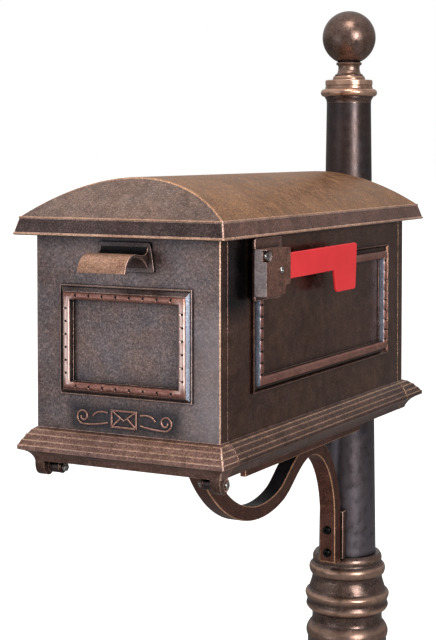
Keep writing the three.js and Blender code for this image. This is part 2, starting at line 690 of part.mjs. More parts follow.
// A shallow box over the pivot, open behind and above so that the flag can swing up.
function flagHousing() {
  const inside = PLATE_X + PLATE_THICK + GAP;
  const outline = new THREE.Shape();
  outline.moveTo(53.5, 145.5);
  outline.lineTo(99.5, 146.6);
  outline.lineTo(99.5, 156);
  outline.lineTo(110.8, 156);
  outline.lineTo(110.8, 195);
  outline.lineTo(53.5, 195.5);
  outline.closePath();
  const cavity = new THREE.Shape();
  cavity.moveTo(57, 149);
  cavity.lineTo(96.5, 149.5);
  cavity.lineTo(96.5, 159.4);
  cavity.lineTo(112, 159.4);
  cavity.lineTo(112, 192);
  cavity.lineTo(67.5, 192);
  cavity.lineTo(67.5, 180.5);
  cavity.lineTo(57, 180.5);
  cavity.closePath();
  const shell = prismX(outline, inside, HOUSING_OUT);
  const hollow = prismX(cavity, inside - 1, HOUSING_OUT - 3);
  const slot = block([FLAG_X - 1.2, 70.5, 190], [FLAG_X + FLAG_THICK + 1.2, 112, 197]);
  const outside = HOUSING_OUT + 1;
  const { y, z } = HOUSING_SCREW;
  const pocket = rod(6.4, POCKET_SEAT, outside, FACE_RIGHT, [0, y - 1, z]);
  const pocketMouth = block([POCKET_SEAT, 52, z - 6], [outside, y - 1, z + 6]);
  const holes = [pivotHole(3.3), housingScrewHole(SCREW_BORE)];
  return cut(shell, hollow, slot, pocket, pocketMouth, ...holes);
}

// Arm and tab in one plate; it lies level and swings up about the rivet.
function flag() {
  const { y, z } = FLAG_PIVOT;
  const hub = 14;
  const shape = new THREE.Shape();
  shape.absarc(y, z, hub, Math.PI / 2, 3 * Math.PI / 2, false);
  shape.lineTo(y, 160);
  shape.lineTo(237, 161);
  shape.lineTo(242, 140);
  shape.quadraticCurveTo(243, 135.6, 248, 135.6);
  shape.lineTo(294, 135.6);
  shape.quadraticCurveTo(298.4, 135.6, 298.7, 140);
  shape.lineTo(302, 184);
  shape.quadraticCurveTo(302, 189.4, 297, 189.4);
  shape.lineTo(y + 20, 188);
  shape.closePath();
  return cut(prismX(shape, FLAG_X, FLAG_X + FLAG_THICK, 6), pivotHole(3.4));
}

function flagRivet() {
  return turnedAt([
    [0, PLATE_X - 0.9], [4.6, PLATE_X - 0.9], [4.6, PLATE_X - GAP], [3, PLATE_X - GAP],
    [3, HOUSING_OUT + GAP], [3.6, HOUSING_OUT + GAP], [3.4, HOUSING_OUT + 1.3],
    [2, HOUSING_OUT + 2.1], [0, HOUSING_OUT + 2.1],
  ], SMALL_ROUND, FACE_RIGHT, [0, FLAG_PIVOT.y, FLAG_PIVOT.z]);
}

// ---- assembly -----------------------------------------------------------------------------
// Adds a small turned fastener, drawn as a profile on its own axis.
function screw(group, name, profile, basis, centre, material) {
  place(group, name, turnedAt(profile, SMALL_ROUND, basis, centre), material);
}

function addPost(group) {
  place(group, 'ground_flange', groundFlange(), copper());
  place(group, 'lower_column', lowerColumn(), paleCopper());
  place(group, 'coupling_sleeve', couplingSleeve(), steel());
  place(group, 'post_shaft', postShaft(), darkCopper());
  place(group, 'post_cap', postCap(), copper());
  place(group, 'ball_finial', ballFinial(), copper());
}

function addBracket(group) {
  place(group, 'bracket_pad', bracketPad(), copper());
  place(group, 'scroll_bracket', scrollBracket(), copper());
  const legScrew = domeScrew(5.6, 3.6, 3, 40);
  ['upper', 'lower'].forEach((where, i) => {
    const seat = [0, LEG_FRONT - GAP, LEG_SCREWS[i]];
    screw(group, `leg_screw_${where}`, legScrew, FACE_FRONT, seat, blackSteel());
  });
  place(group, 'mounting_channel', mountingChannel(), copper());
  const head = FLOOR_TOP + GAP;
  const scrollBolt = domeScrew(7.5, 4.5, 4, 38);
  ['front', 'rear'].forEach((where, i) => {
    screw(group, `scroll_bolt_${where}`, scrollBolt, ALONG_Z, [0, SCROLL_BOLTS[i], head], steel());
  });
  const boxBolt = domeScrew(8.5, 4, 4, 22);
  for (const [where, x, y] of BOX_BOLTS) {
    screw(group, `box_bolt_${where}`, boxBolt, ALONG_Z, [x, y, head], steel());
    place(group, `box_nut_${where}`, hexNut(7.4, 5, 6, FLIP_Z, [x, y, SCROLL_TOP]), steel());
  }
}

function addBox(group, shell) {
  place(group, 'floor_plate', floorPlate(), copper());
  place(group, 'side_panel_left', sidePanel(-1, shell), copper());
  place(group, 'side_panel_right', sidePanel(1, shell), copper());
  place(group, 'back_panel', backPanel(shell), copper());
  place(group, 'roof', roof(), roofCopper());
  const roofScrew = domeScrew(4, 2.4, 2, 14);
  for (const [where, x, y] of ROOF_SCREWS) {
    const seat = [x, y, WALL_TOP - 4 - GAP];
    screw(group, `roof_screw_${where}`, roofScrew, FLIP_Z, seat, steel());
  }
  const backScrew = domeScrew(4, 2.4, 2, 13);
  for (const [where, x, z] of BACK_SCREWS) {
    const seat = [x, SEAM_BACK - 4 - 2 * GAP, z];
    screw(group, `back_screw_${where}`, backScrew, FACE_FRONT, seat, steel());
  }
}

function addHinges(group) {
  for (const [where, side] of [['left', -1], ['right', 1]]) {
    const outward = side > 0 ? FACE_RIGHT : FACE_LEFT;
    place(group, `hinge_bracket_${where}`, hingeBracket(side), darkCopper());
    place(group, `hinge_pin_${where}`, hingePin(side), steel());
    const axis = [0, HINGE_Y, HINGE_Z];
    const washer = [[2.8, 85.6], [6.8, 85.6], [6.8, 87.7], [2.8, 87.7], [2.8, 85.6]];
    screw(group, `hinge_washer_${where}`, washer, outward, axis, paleCopper());
    const nut = hexNut(5, 3.3, 3.8, outward, [side * 81.5, HINGE_Y, HINGE_Z]);
    place(group, `hinge_nut_${where}`, nut, steel());
    const leafSeat = [side * LEAF_SCREW.x, LEAF_SCREW.y, -40.2 - GAP];
    screw(group, `hinge_screw_${where}`, domeScrew(4, 2.4, 2, 12), FLIP_Z, leafSeat, steel());
  }
}

function addDoor(group, shell) {
  place(group, 'door_panel', doorPanel(shell), copper());
  place(group, 'door_handle', doorHandle(), paleCopper());
  for (const [where, side] of [['left', -1], ['right', 1]]) {
    const seat = [side * HANDLE_SCREW_X, WALL + GAP, HANDLE_SCREW_Z];
    screw(group, `handle_screw_${where}`, domeScrew(3.6, 2.2, 1.6, 7), FACE_BACK, seat, steel());
  }
  const strike = block([-13, 11.5, 190], [13, 15, WALL_TOP - 4.4 - GAP]);
  place(group, 'catch_strike', strike, steel());
}

function addCatch(group) {
  const magnet = block([-16, SEAM_FRONT, 189], [16, 30, EAVE_BOTTOM - GAP]);
  place(group, 'catch_magnet', magnet, magnetGrey());
}

function addFlag(group) {
  place(group, 'flag_backplate', flagBackplate(), copper());
  for (const [where, y, z] of FLAG_SCREWS) {
    place(group, `flag_spacer_${where}`, flagSpacer(y, z), copper());
    const seat = [PLATE_X + PLATE_THICK + GAP, y, z];
    screw(group, `flag_screw_${where}`, domeScrew(3.8, 2.2, 2, 17), FACE_RIGHT, seat, steel());
  }
  place(group, 'flag_housing', flagHousing(), copper());
  const pocketSeat = [POCKET_SEAT + GAP, HOUSING_SCREW.y, HOUSING_SCREW.z];
  screw(group, 'housing_screw', domeScrew(4, 2.4, 2, 12.4), FACE_RIGHT, pocketSeat, steel());
  place(group, 'flag_rivet', flagRivet(), steel());
  place(group, 'signal_flag', flag(), red());
}

const mailbox = new THREE.Group();
const box = new THREE.Group();
box.position.set(0, -DOOR_TO_AXIS, SILL_HEIGHT);
mailbox.add(box);
const walls = casing();
addPost(mailbox);
addBracket(box);
addBox(box, walls);
addHinges(box);
addDoor(box, walls);
addCatch(box);
addFlag(box);

export default mailbox;
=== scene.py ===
"""Looks of a kerbside mailbox on a turned post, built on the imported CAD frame.

The box is laid out in millimetres from the foot of its door face, the post from the ground at its
axis; at() and on_post() turn both into metres in the shared frame.
"""
import math

import bmesh
import bpy
from mathutils import Euler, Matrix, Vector


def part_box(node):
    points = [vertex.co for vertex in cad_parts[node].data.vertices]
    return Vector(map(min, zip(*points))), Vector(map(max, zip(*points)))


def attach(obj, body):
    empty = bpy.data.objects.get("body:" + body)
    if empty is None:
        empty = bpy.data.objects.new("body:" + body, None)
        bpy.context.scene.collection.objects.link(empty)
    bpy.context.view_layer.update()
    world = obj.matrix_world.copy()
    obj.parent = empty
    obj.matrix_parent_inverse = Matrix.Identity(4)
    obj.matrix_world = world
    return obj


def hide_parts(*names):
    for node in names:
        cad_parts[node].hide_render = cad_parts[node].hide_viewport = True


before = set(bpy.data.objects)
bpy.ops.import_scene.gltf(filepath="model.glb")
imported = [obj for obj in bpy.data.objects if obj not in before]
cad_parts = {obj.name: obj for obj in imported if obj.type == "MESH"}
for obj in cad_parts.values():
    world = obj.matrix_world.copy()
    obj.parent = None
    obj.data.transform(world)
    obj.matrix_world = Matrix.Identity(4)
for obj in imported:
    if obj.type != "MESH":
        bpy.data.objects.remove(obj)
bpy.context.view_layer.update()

MM = 0.001
BODY = "post_and_box"
SIDES = ((-1, "left"), (1, "right"))

# Box, in box millimetres.
HALF = 111.3                # walls, outside
DEPTH = 500                 # door face to back wall
WALL = 5
SKIRT = -35.5               # underside of the base moulding
WALL_TOP = 207
DOOR_TOP = 206.6
DOOR_BACK = 15.4
SIDE_FRONT, SIDE_BACK = 16.0, 484.0
BACK_FRONT = 484.3
EAVE_LOW, EAVE_HIGH = 207.4, 227.3
HINGE = (12, -43)           # Y and Z of the door's hinge axis
PIVOT = (88, 172)           # Y and Z of the flag's pivot
ORNAMENT = (-2, -1, 16.9)   # middle of the ornament on the door face

# Post, in post millimetres.
SHAFT_FOOT, POST_TOP = (corner.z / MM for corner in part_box("post_shaft"))
FOOT_RADIUS, TOP_RADIUS = 38.9, 30
SHAFT_WALL = 4.4
BALL_CENTRE, BALL_RADIUS = 1568.5, 36
SLEEVE_BORE = 34            # radius inside the lower column
BOLT_CIRCLE = 97            # radius that the anchor bolts stand on
COLUMN_LOW, COLUMN_HIGH = 12.4, 865.4
FLUTES = 16
FLUTES_LOW, FLUTES_HIGH = 135, 745

WALL_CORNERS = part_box("side_panel_right")
BOX_Y = WALL_CORNERS[0].y - SIDE_FRONT * MM
BOX_Z = WALL_CORNERS[1].z - WALL_TOP * MM


def at(x, y, z):
    """Box millimetres to metres in the shared frame."""
    return Vector((x * MM, BOX_Y + y * MM, BOX_Z + z * MM))


def on_post(x, y, z):
    """Post millimetres, from the ground at its axis, to metres in the shared frame."""
    return Vector((x * MM, y * MM, z * MM))


def along_x(y, z, x):
    return at(x, y, z)


def along_y(x, z, y):
    return at(x, y, z)


def on_door(u, v, height):
    """A point over the door's face, from how far it stands out."""
    return at(u, -height, v)


# ---- materials ----
def node(tree, kind, sockets=None, **settings):
    """A node with its settings, and its sockets linked or set."""
    made = tree.nodes.new(kind)
    for key, value in settings.items():
        setattr(made, key, value)
    for key, value in (sockets or {}).items():
        if isinstance(value, bpy.types.NodeSocket):
            tree.links.new(value, made.inputs[key])
        else:
            made.inputs[key].default_value = value
    return made


def noise(tree, where, scale, detail=4, roughness=0.55):
    sockets = {"Vector": where, "Scale": scale, "Detail": detail, "Roughness": roughness}
    return node(tree, "ShaderNodeTexNoise", sockets).outputs["Fac"]


def remap(tree, value, low, high, to_low=0.0, to_high=1.0):
    sockets = {"Value": value, "From Min": low, "From Max": high, "To Min": to_low, "To Max": to_high}
    return node(tree, "ShaderNodeMapRange", sockets).outputs["Result"]


def blend(tree, share, first, second, mode="MIX"):
    """Mixes two colours, each a socket or a tuple of red, green and blue."""
    first, second = ((*c, 1) if isinstance(c, tuple) else c for c in (first, second))
    sockets = {0: share, 6: first, 7: second}
    return node(tree, "ShaderNodeMix", sockets, data_type="RGBA", blend_type=mode).outputs[2]


def combine(tree, operation, first, second):
    sockets = {0: first, 1: second}
    return node(tree, "ShaderNodeMath", sockets, operation=operation, use_clamp=True).outputs[0]


def blank(name, metallic, **fixed):
    material = bpy.data.materials.new(name)
    material.use_nodes = True
    tree = material.node_tree
    shader = tree.nodes["Principled BSDF"]
    shader.inputs["Metallic"].default_value = metallic
    for key, value in fixed.items():
        shader.inputs[key].default_value = value
    where = node(tree, "ShaderNodeTexCoord").outputs["Object"]
    return material, tree, shader, where


def surface(tree, shader, colour, roughness, height, depth):
    bump = node(tree, "ShaderNodeBump", {"Height": height, "Strength": 0.35, "Distance": depth})
    tree.links.new(colour, shader.inputs["Base Color"])
    tree.links.new(roughness, shader.inputs["Roughness"])
    tree.links.new(bump.outputs["Normal"], shader.inputs["Normal"])


def patch(tree, where, axes, centre, half, fade):
    """1 inside a rectangle across two axes, fading to 0 round it."""
    away = node(tree, "ShaderNodeVectorMath", {0: where, 1: centre}, operation="SUBTRACT")
    size = node(tree, "ShaderNodeVectorMath", {0: away.outputs[0]}, operation="ABSOLUTE")
    parts = node(tree, "ShaderNodeSeparateXYZ", {0: size.outputs[0]}).outputs
    shares = [remap(tree, parts[axis], reach, reach + fade, 1, 0) for axis, reach in zip(axes, half)]
    return combine(tree, "MULTIPLY", *shares)


def antique(name, shade, light, bright, metallic=0.8, rough=0.42, fleck=0.3, recess=0.007,
            cool=(0.78, 0.98, 1.25), grainy=0.5, stains_and_light=()):
    """Copper under a dark patina: clouds, grain, bright flecks, bright crests from rubbing with painted
    highlights, and painted cool shade in recesses.
    """
    material, tree, shader, where = blank(name, metallic)
    clouds = noise(tree, where, 13, 6, 0.62)
    blotch = noise(tree, where, 85, 5, 0.6)
    grain = noise(tree, where, 560, 3, 0.65)
    hue = noise(tree, where, 24, 5, 0.65)
    broad = remap(tree, clouds, 0.34, 0.66, 0, 0.55)
    tone = combine(tree, "ADD", broad, remap(tree, blotch, 0.34, 0.66, 0, 0.45))
    colour = blend(tree, tone, shade, light)
    chill = blend(tree, remap(tree, hue, 0.4, 0.62), (1, 1, 1), cool)
    colour = blend(tree, 1.0, colour, chill, "MULTIPLY")
    speckle = remap(tree, grain, 0.34, 0.66, 1 - grainy, 1 + grainy)
    colour = blend(tree, 1.0, colour, speckle, "MULTIPLY")
    flecks = remap(tree, grain, 0.58, 0.72, 0, fleck)
    # A bright tone laid by a per-vertex attribute: rubbing on crests, and a painted highlight on the door
    # bar's uprights and the shaft's foot.
    rub_and_gleam = node(tree, "ShaderNodeAttribute", attribute_name="wear_and_sheen").outputs["Fac"]
    rubbing_and_gleam = combine(tree, "MULTIPLY", rub_and_gleam, remap(tree, blotch, 0.25, 0.5, 0.45, 1))
    colour = blend(tree, combine(tree, "MAXIMUM", flecks, rubbing_and_gleam), colour, bright)
    # Patches laid over the colour: patina, painted shadow and painted highlight.
    for wash, strength, *place in stains_and_light:
        share = combine(tree, "MULTIPLY", patch(tree, where, *place), strength)
        colour = blend(tree, share, colour, wash)
    # Painted shade: ambient occlusion darkens recesses towards a cool near-black.
    hollow = node(tree, "ShaderNodeAmbientOcclusion", {"Distance": recess}, samples=6).outputs["AO"]
    recess_shade = blend(tree, remap(tree, hollow, 0.35, 0.95), (0.13, 0.155, 0.19), (1, 1, 1))
    colour = blend(tree, 1.0, colour, recess_shade, "MULTIPLY")
    gloss = remap(tree, blotch, 0.3, 0.7, rough - 0.07, rough + 0.1)
    fine = combine(tree, "MULTIPLY", grain, 0.6)
    relief = combine(tree, "ADD", fine, combine(tree, "MULTIPLY", blotch, 0.4))
    surface(tree, shader, colour, gloss, relief, 0.0005)
    return material


def bare_and_gleaming(name, shade, light, bright):
    """Copper where handling has taken the patina off an edge, brightened further as a painted highlight."""
    return antique(name, shade, light, bright, 0.7, 0.4, 0.4, 0.002, cool=(0.95, 0.95, 1.0))


def painted(name, colour, shade, rough):
    """Gloss paint with a faint orange peel and slightly thinner colour in patches."""
    gloss = {"Coat Weight": 0.12, "Coat Roughness": 0.2, "Specular IOR Level": 0.3}
    material, tree, shader, where = blank(name, 0.0, **gloss)
    patches = noise(tree, where, 22, 4)
    peel = noise(tree, where, 420, 2)
    colour = blend(tree, remap(tree, patches, 0.35, 0.65), colour, shade)
    surface(tree, shader, colour, remap(tree, peel, 0.3, 0.7, rough - 0.05, rough + 0.08), peel, 0.0003)
    return material


def plain_metal(name, dark, light, rough, metallic=1.0, stretch=(1, 1, 1)):
    """Machined or blackened metal with fine directional marks."""
    material, tree, shader, where = blank(name, metallic)
    drawn = node(tree, "ShaderNodeMapping", {"Vector": where, "Scale": stretch}).outputs["Vector"]
    marks = noise(tree, drawn, 260, 5, 0.7)
    wash = noise(tree, where, 60, 4)
    colour = blend(tree, combine(tree, "MULTIPLY", marks, wash), dark, light)
    surface(tree, shader, colour, remap(tree, marks, 0.3, 0.7, rough - 0.06, rough + 0.12), marks, 0.0002)
    return material


# Patches: colour, strength, the two axes across it, centre, half its size, and fade. Patina is left round
# the ornament, a painted shadow darkens the wall in the lee of the flag's plate, and a painted highlight
# makes the door paler towards its right side.
PATINA_AND_SHADE = (0.018, 0.021, 0.026)
FIELD = (PATINA_AND_SHADE, 0.72, ("X", "Z"), at(*ORNAMENT), (62 * MM, 9 * MM), 11 * MM)
# Painted shadow on the wall behind the flag's plate.
FLAG_SHADOW = (PATINA_AND_SHADE, 0.92, ("Y", "Z"), at(HALF, 36, 170), (16 * MM, 30 * MM), 24 * MM)
# Painted highlight: a pale patch towards the door's right side.
GLEAM = ((0.50, 0.42, 0.42), 0.30, ("X", "Z"), at(108, 0, 20), (10 * MM, 90 * MM), 36 * MM)

CASTING = antique("casting_copper", (0.075, 0.037, 0.028), (0.22, 0.122, 0.092), (0.62, 0.36, 0.24),
                  rough=0.32, cool=(0.9, 0.92, 1.0))
BRACKET = antique("bracket_copper", (0.078, 0.027, 0.018), (0.22, 0.092, 0.062), (0.60, 0.31, 0.20),
                  rough=0.34, fleck=0.2, cool=(0.92, 0.92, 1.0))
# A darker copy of the casting copper: painted shade on the eave's front.
EAVE = antique("eave_copper", (0.055, 0.036, 0.034), (0.165, 0.112, 0.104), (0.60, 0.42, 0.35),
               rough=0.36, cool=(0.92, 0.98, 1.04), grainy=0.4)
WARM = antique("warm_copper", (0.145, 0.075, 0.057), (0.38, 0.21, 0.165), (0.80, 0.50, 0.38),
               rough=0.36, cool=(0.9, 0.92, 1.0))
HOUSING = antique("housing_copper", (0.18, 0.082, 0.057), (0.47, 0.232, 0.166), (0.92, 0.54, 0.39),
                  rough=0.36, cool=(0.9, 0.92, 1.0))
DOOR = antique("door_copper", (0.105, 0.064, 0.055), (0.27, 0.188, 0.166), (0.62, 0.43, 0.36),
               rough=0.34, fleck=0.35, recess=0.02, cool=(0.8, 0.94, 1.1), grainy=0.45,
               stains_and_light=(GLEAM, FIELD))
WALLS = antique("wall_copper", (0.13, 0.062, 0.042), (0.30, 0.158, 0.114), (0.55, 0.33, 0.24),
                0.93, 0.22, 0.1, cool=(0.88, 0.95, 1.08), grainy=0.35, stains_and_light=(FLAG_SHADOW,))
# Painted light: paler, less metallic copper that lightens the flag cover's front faces.
LIT_FRONT = antique("painted_lit_copper", (0.28, 0.205, 0.20), (0.50, 0.385, 0.375), (0.78, 0.66, 0.65),
                 0.3, 0.45, 0.3, 0.002, cool=(0.9, 1.0, 1.05), grainy=0.3)
# Edge finishes: copper bared by handling, made brighter as a painted highlight.
EDGE = bare_and_gleaming("edge_copper", (0.50, 0.30, 0.23), (0.84, 0.56, 0.45), (1.0, 0.80, 0.68))
RUBBED_GLEAM = bare_and_gleaming("rubbed_gleam_copper", (0.44, 0.22, 0.12), (0.86, 0.50, 0.30), (1.0, 0.72, 0.50))
RIDGE = bare_and_gleaming("ridge_copper", (0.30, 0.17, 0.11), (0.62, 0.40, 0.27), (0.95, 0.68, 0.48))
ROOF = antique("roof_copper", (0.25, 0.115, 0.05), (0.50, 0.255, 0.125), (0.85, 0.52, 0.33),
               0.75, 0.42, 0.35, cool=(0.95, 0.95, 1.0))
# A darker, cooler copy of the roof's copper: painted shade on the vault's front end.
VAULT_FRONT = antique("vault_front_copper", (0.15, 0.093, 0.073), (0.35, 0.235, 0.19),
                      (0.72, 0.50, 0.40), 0.75, 0.44, 0.4, cool=(0.9, 0.98, 1.05), grainy=0.4)
PALE = antique("pale_copper", (0.27, 0.115, 0.086), (0.50, 0.248, 0.194), (1.0, 0.72, 0.65),
               0.8, 0.38, 0.3, 0.004, cool=(0.95, 0.9, 0.95), grainy=0.3)
PULL = antique("pull_copper", (0.36, 0.18, 0.115), (0.70, 0.42, 0.28), (0.95, 0.64, 0.46),
               0.75, 0.42, 0.4, 0.004, cool=(0.95, 0.95, 1.0), grainy=0.4)
# Painted light: a cool silvery sheen on frame faces that catch the light.
SILVER = antique("painted_cool_sheen", (0.17, 0.18, 0.21), (0.32, 0.34, 0.40), (0.55, 0.58, 0.66),
                 0.6, 0.42, 0.3, 0.004, cool=(0.9, 0.95, 1.05), grainy=0.4)
# Painted shade: near-black laid where shade falls, in notches and hollows.
SHADOW = antique("painted_shade", (0.010, 0.008, 0.008), (0.030, 0.024, 0.024), (0.09, 0.07, 0.06),
                 0.6, 0.5, 0.1)
# Its cool bright tone is also the painted light on the lower shaft.
SHAFT = antique("shaft_copper", (0.055, 0.036, 0.033), (0.095, 0.066, 0.061), (0.28, 0.25, 0.29),
                0.8, 0.34, 0.04, cool=(0.85, 1.0, 1.15), grainy=0.2)
TURNED = antique("turned_copper", (0.09, 0.054, 0.043), (0.23, 0.146, 0.117), (0.70, 0.43, 0.31),
                 0.8, 0.30, 0.2, cool=(0.88, 0.95, 1.05))
FLAG_RED = painted("flag_red", (0.78, 0.038, 0.044), (0.70, 0.030, 0.036), 0.36)
BLACK = plain_metal("black_steel", (0.006, 0.006, 0.007), (0.05, 0.05, 0.052), 0.28)
STEEL = plain_metal("stainless", (0.30, 0.29, 0.28), (0.78, 0.77, 0.75), 0.24, stretch=(1, 8, 1))
MAGNET = plain_metal("magnet_grey", (0.03, 0.03, 0.034), (0.14, 0.14, 0.15), 0.5, 0.4)


# ---- shapes ----
def loft(rings, loop=False):
    """Skins a list of equally long point rings: closed round each ring, and ring to ring."""
    count = len(rings[0])
    verts = [point for ring in rings for point in ring]
    faces = []
    for i in range(len(rings) if loop else len(rings) - 1):
        j = (i + 1) % len(rings)
        for k in range(count):
            m = (k + 1) % count
            faces.append((i * count + k, i * count + m, j * count + m, j * count + k))
    if not loop:
        last = (len(rings) - 1) * count
        faces.append(tuple(reversed(range(count))))
        faces.append(tuple(last + k for k in range(count)))
    return verts, faces


def prism(outline, low, high, put):
    return loft([[put(u, v, low) for u, v in outline], [put(u, v, high) for u, v in outline]])


def brick(low, high, put=at):
    (x0, y0, z0), (x1, y1, z1) = low, high
    return prism([(x0, y0), (x1, y0), (x1, y1), (x0, y1)], z0, z1, put)


def turned(profile, sides, put, radius_at=None):
    """Profile of (radius, height) turned about an axis; a profile that meets the axis is capped."""
    rings = []
    for radius, height in profile:
        ring = []
        for k in range(sides):
            angle = 2 * math.pi * k / sides
            reach = radius_at(radius, height, angle) if radius_at else radius
            ring.append(put(reach * math.cos(angle), reach * math.sin(angle), height))
        rings.append(ring)
    return loft(rings, loop=profile[0] == profile[-1])


def arc(cy, cz, ry, rz, start, end, steps):
    """Points of an ellipse's arc, angles in degrees."""
    turn = [math.radians(start + (end - start) * i / steps) for i in range(steps + 1)]
    return [(cy + ry * math.cos(a), cz + rz * math.sin(a)) for a in turn]


def bezier(p0, p1, p2, p3, steps):
    points = []
    for i in range(steps + 1):
        t = i / steps
        weights = ((1 - t) ** 3, 3 * t * (1 - t) ** 2, 3 * t * t * (1 - t), t ** 3)
        points.append(tuple(sum(w * p[k] for w, p in zip(weights, (p0, p1, p2, p3))) for k in (0, 1)))
    return points


def softened(corners, radius, steps=4):
    """A closed outline with its corners rounded off by curves that start radius from each."""
    outline = []
    for i, corner in enumerate(corners):
        here = Vector(corner)
        before = Vector(corners[i - 1]) - here
        after = Vector(corners[(i + 1) % len(corners)]) - here
        start = here + before.normalized() * min(radius, before.length * 0.45)
        end = here + after.normalized() * min(radius, after.length * 0.45)
        for k in range(steps + 1):
            t = k / steps
            outline.append(tuple(start * (1 - t) ** 2 + here * 2 * t * (1 - t) + end * t * t))
    return outline


def mesh_object(shape, name="scratch"):
    data = bpy.data.meshes.new(name)
    verts, faces = shape
    data.from_pydata([tuple(v) for v in verts], [], faces)
    grown = bmesh.new()
    grown.from_mesh(data)
    bmesh.ops.remove_doubles(grown, verts=grown.verts, dist=1e-6)
    bmesh.ops.recalc_face_normals(grown, faces=grown.faces)
    grown.to_mesh(data)
    grown.free()
    made = bpy.data.objects.new(name, data)
    bpy.context.scene.collection.objects.link(made)
    return made


def shaped(operation, body, *tools):
    """Cuts the tools from a shape, or joins them to it."""
    solid = mesh_object(body)
    for tool in tools:
        other = mesh_object(tool)
        modifier = solid.modifiers.new("shape", "BOOLEAN")
        modifier.operation = operation
        modifier.solver = "EXACT"
        modifier.object = other
        graph = bpy.context.evaluated_depsgraph_get()
        result = bpy.data.meshes.new_from_object(solid.evaluated_get(graph))
        solid.modifiers.clear()
        solid.data = result
        bpy.data.objects.remove(other)
    shape = ([v.co.copy() for v in solid.data.vertices], [tuple(p.vertices) for p in solid.data.polygons])
    bpy.data.objects.remove(solid)
    return shape


def cut(body, *tools):
    return shaped("DIFFERENCE", body, *tools)


def fused(body, *tools):
    return shaped("UNION", body, *tools)


def piece(name, shape, finishes, body=BODY, stands_for=(), bevel=0.5, sharp=32, segments=2):
    """A finished piece; with a second finish, its bevelled edges take that one."""
    made = mesh_object(shape, name)
    data = made.data
    for finish in finishes:
        data.materials.append(finish)
    data.polygons.foreach_set("use_smooth", [True] * len(data.polygons))
    data.set_sharp_from_angle(angle=math.radians(sharp))
    if bevel:
        modifier = made.modifiers.new("edges", "BEVEL")
        modifier.width = bevel * MM
        modifier.segments = segments
        modifier.limit_method = "ANGLE"
        modifier.angle_limit = math.radians(sharp)
        modifier.material = 1 if len(finishes) > 1 else 0
        flat = made.modifiers.new("flats", "WEIGHTED_NORMAL")
        flat.keep_sharp = True
    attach(made, body)
    if stands_for:
        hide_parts(*stands_for)
    return made


def paint(made, finish, wanted):
    """Gives the faces that answer to wanted a finish of their own."""
    made.data.materials.append(finish)
    index = len(made.data.materials) - 1
    for face in made.data.polygons:
        if wanted(face):
            face.material_index = index


def wear_and_sheen(made, weigh):
    """Stores, 0 to 1 from its place, how far each vertex takes the bright tone: rubbing on crests, a
    painted highlight on other pieces.
    """
    attribute = made.data.attributes.new("wear_and_sheen", "FLOAT", "POINT")
    values = [max(0.0, min(1.0, weigh(v.co))) for v in made.data.vertices]
    attribute.data.foreach_set("value", values)


def crest_wear(profile, reach=7.0, gain=0.45):
    """How far each height of a turned profile stands out from its neighbourhood."""
    def weigh(co):
        height, radius = co.z / MM, math.hypot(co.x, co.y) / MM
        near = [r for r, z in profile if abs(z - height) < reach]
        return (radius - sum(near) / max(len(near), 1)) * gain if near else 0.0
    return weigh


def picture_frame(rect, section, put, notches=None, drop=1.6, reach=(1, 1, 1, 1)):
    """A moulding mitred round a rectangle, and the indices of its notches' faces.

    The section is (inset, height, share of a notch's depth), a notch presses the section down at a
    distance along each side, and reach widens the section of one side against the others."""
    u0, v0, u1, v1 = rect
    corners = [(u0, v0), (u1, v0), (u1, v1), (u0, v1)]
    rings, pressed = [], []
    for side in range(4):
        (ua, va), (ub, vb) = corners[side], corners[(side + 1) % 4]
        length = math.hypot(ub - ua, vb - va)
        du, dv = (ub - ua) / length, (vb - va) / length
        along, inwards = reach[side - 1], reach[side]
        rings.append([put(ua + du * d * along - dv * d * inwards, va + dv * d * along + du * d * inwards, h)
                      for d, h, _ in section])
        for place in (notches or [[]] * 4)[side]:
            for step, depth in ((-1.2, 0), (-0.5, drop), (0.5, drop), (1.2, 0)):
                s = place + step
                if step < 1:
                    pressed.append(len(rings))
                rings.append([put(ua + du * s - dv * d * inwards, va + dv * s + du * d * inwards,
                                  h - depth * share) for d, h, share in section])
    count = len(section)
    dips = {i * count + k for i in pressed for k in range(count)
            if section[k][2] and section[(k + 1) % count][2]}
    return loft(rings, loop=True), dips


def evenly(count, length, margin):
    return [margin + (length - 2 * margin) * i / (count - 1) for i in range(count)]


# ---- box ----
# How far the base moulding stands out, and its levels as (share of that, height).
BASE_REACH = {"side": 13.7, "front": 19.5, "back": 38.6}
BASE_LEVELS = [
    (0.15, SKIRT), (0.18, -33.4), (0.24, -31.2), (0.34, -28.4), (0.48, -25.8), (0.68, -23.8), (0.92, -22.3),
    (1, -21.6), (1, -17.2), (0.93, -16.4), (0.80, -11.9), (0.72, -11.1), (0.56, -6.1), (0.47, -5.3),
    (0.31, -1.9), (0.2, -1.0), (0.06, 0.5), (0.0, 0.7),
]
# Low and high side of each narrow ledge between the moulding's hollows.
LEDGES = ((-22.3, -21.6), (-17.2, -16.4), (-11.9, -11.1), (-6.1, -5.3), (-1.9, -1.0))
CORNER = 1.1           # flat along an outer corner; it takes bared copper and a painted highlight


def levels_to(top):
    """Reach and height of the moulding's levels, then of the wall above it."""
    return BASE_LEVELS + [(0.0, top)]


def capped(x, seam, y, z):
    """Plan of a pan whose outer corners at y are cut to flats, from the seam that it closes."""
    inwards = math.copysign(CORNER, seam - y)
    plan = [(-x, seam), (-x, y + inwards), (-x + CORNER, y), (x - CORNER, y), (x, y + inwards), (x, seam)]
    return [at(u, v, z) for u, v in plan]


def worn_gleaming_corner(face):
    return abs(face.normal.x) > 0.4 and abs(face.normal.y) > 0.4


def on_ledge(face):
    return any(at(0, 0, low).z < face.center.z < at(0, 0, high).z for low, high in LEDGES)


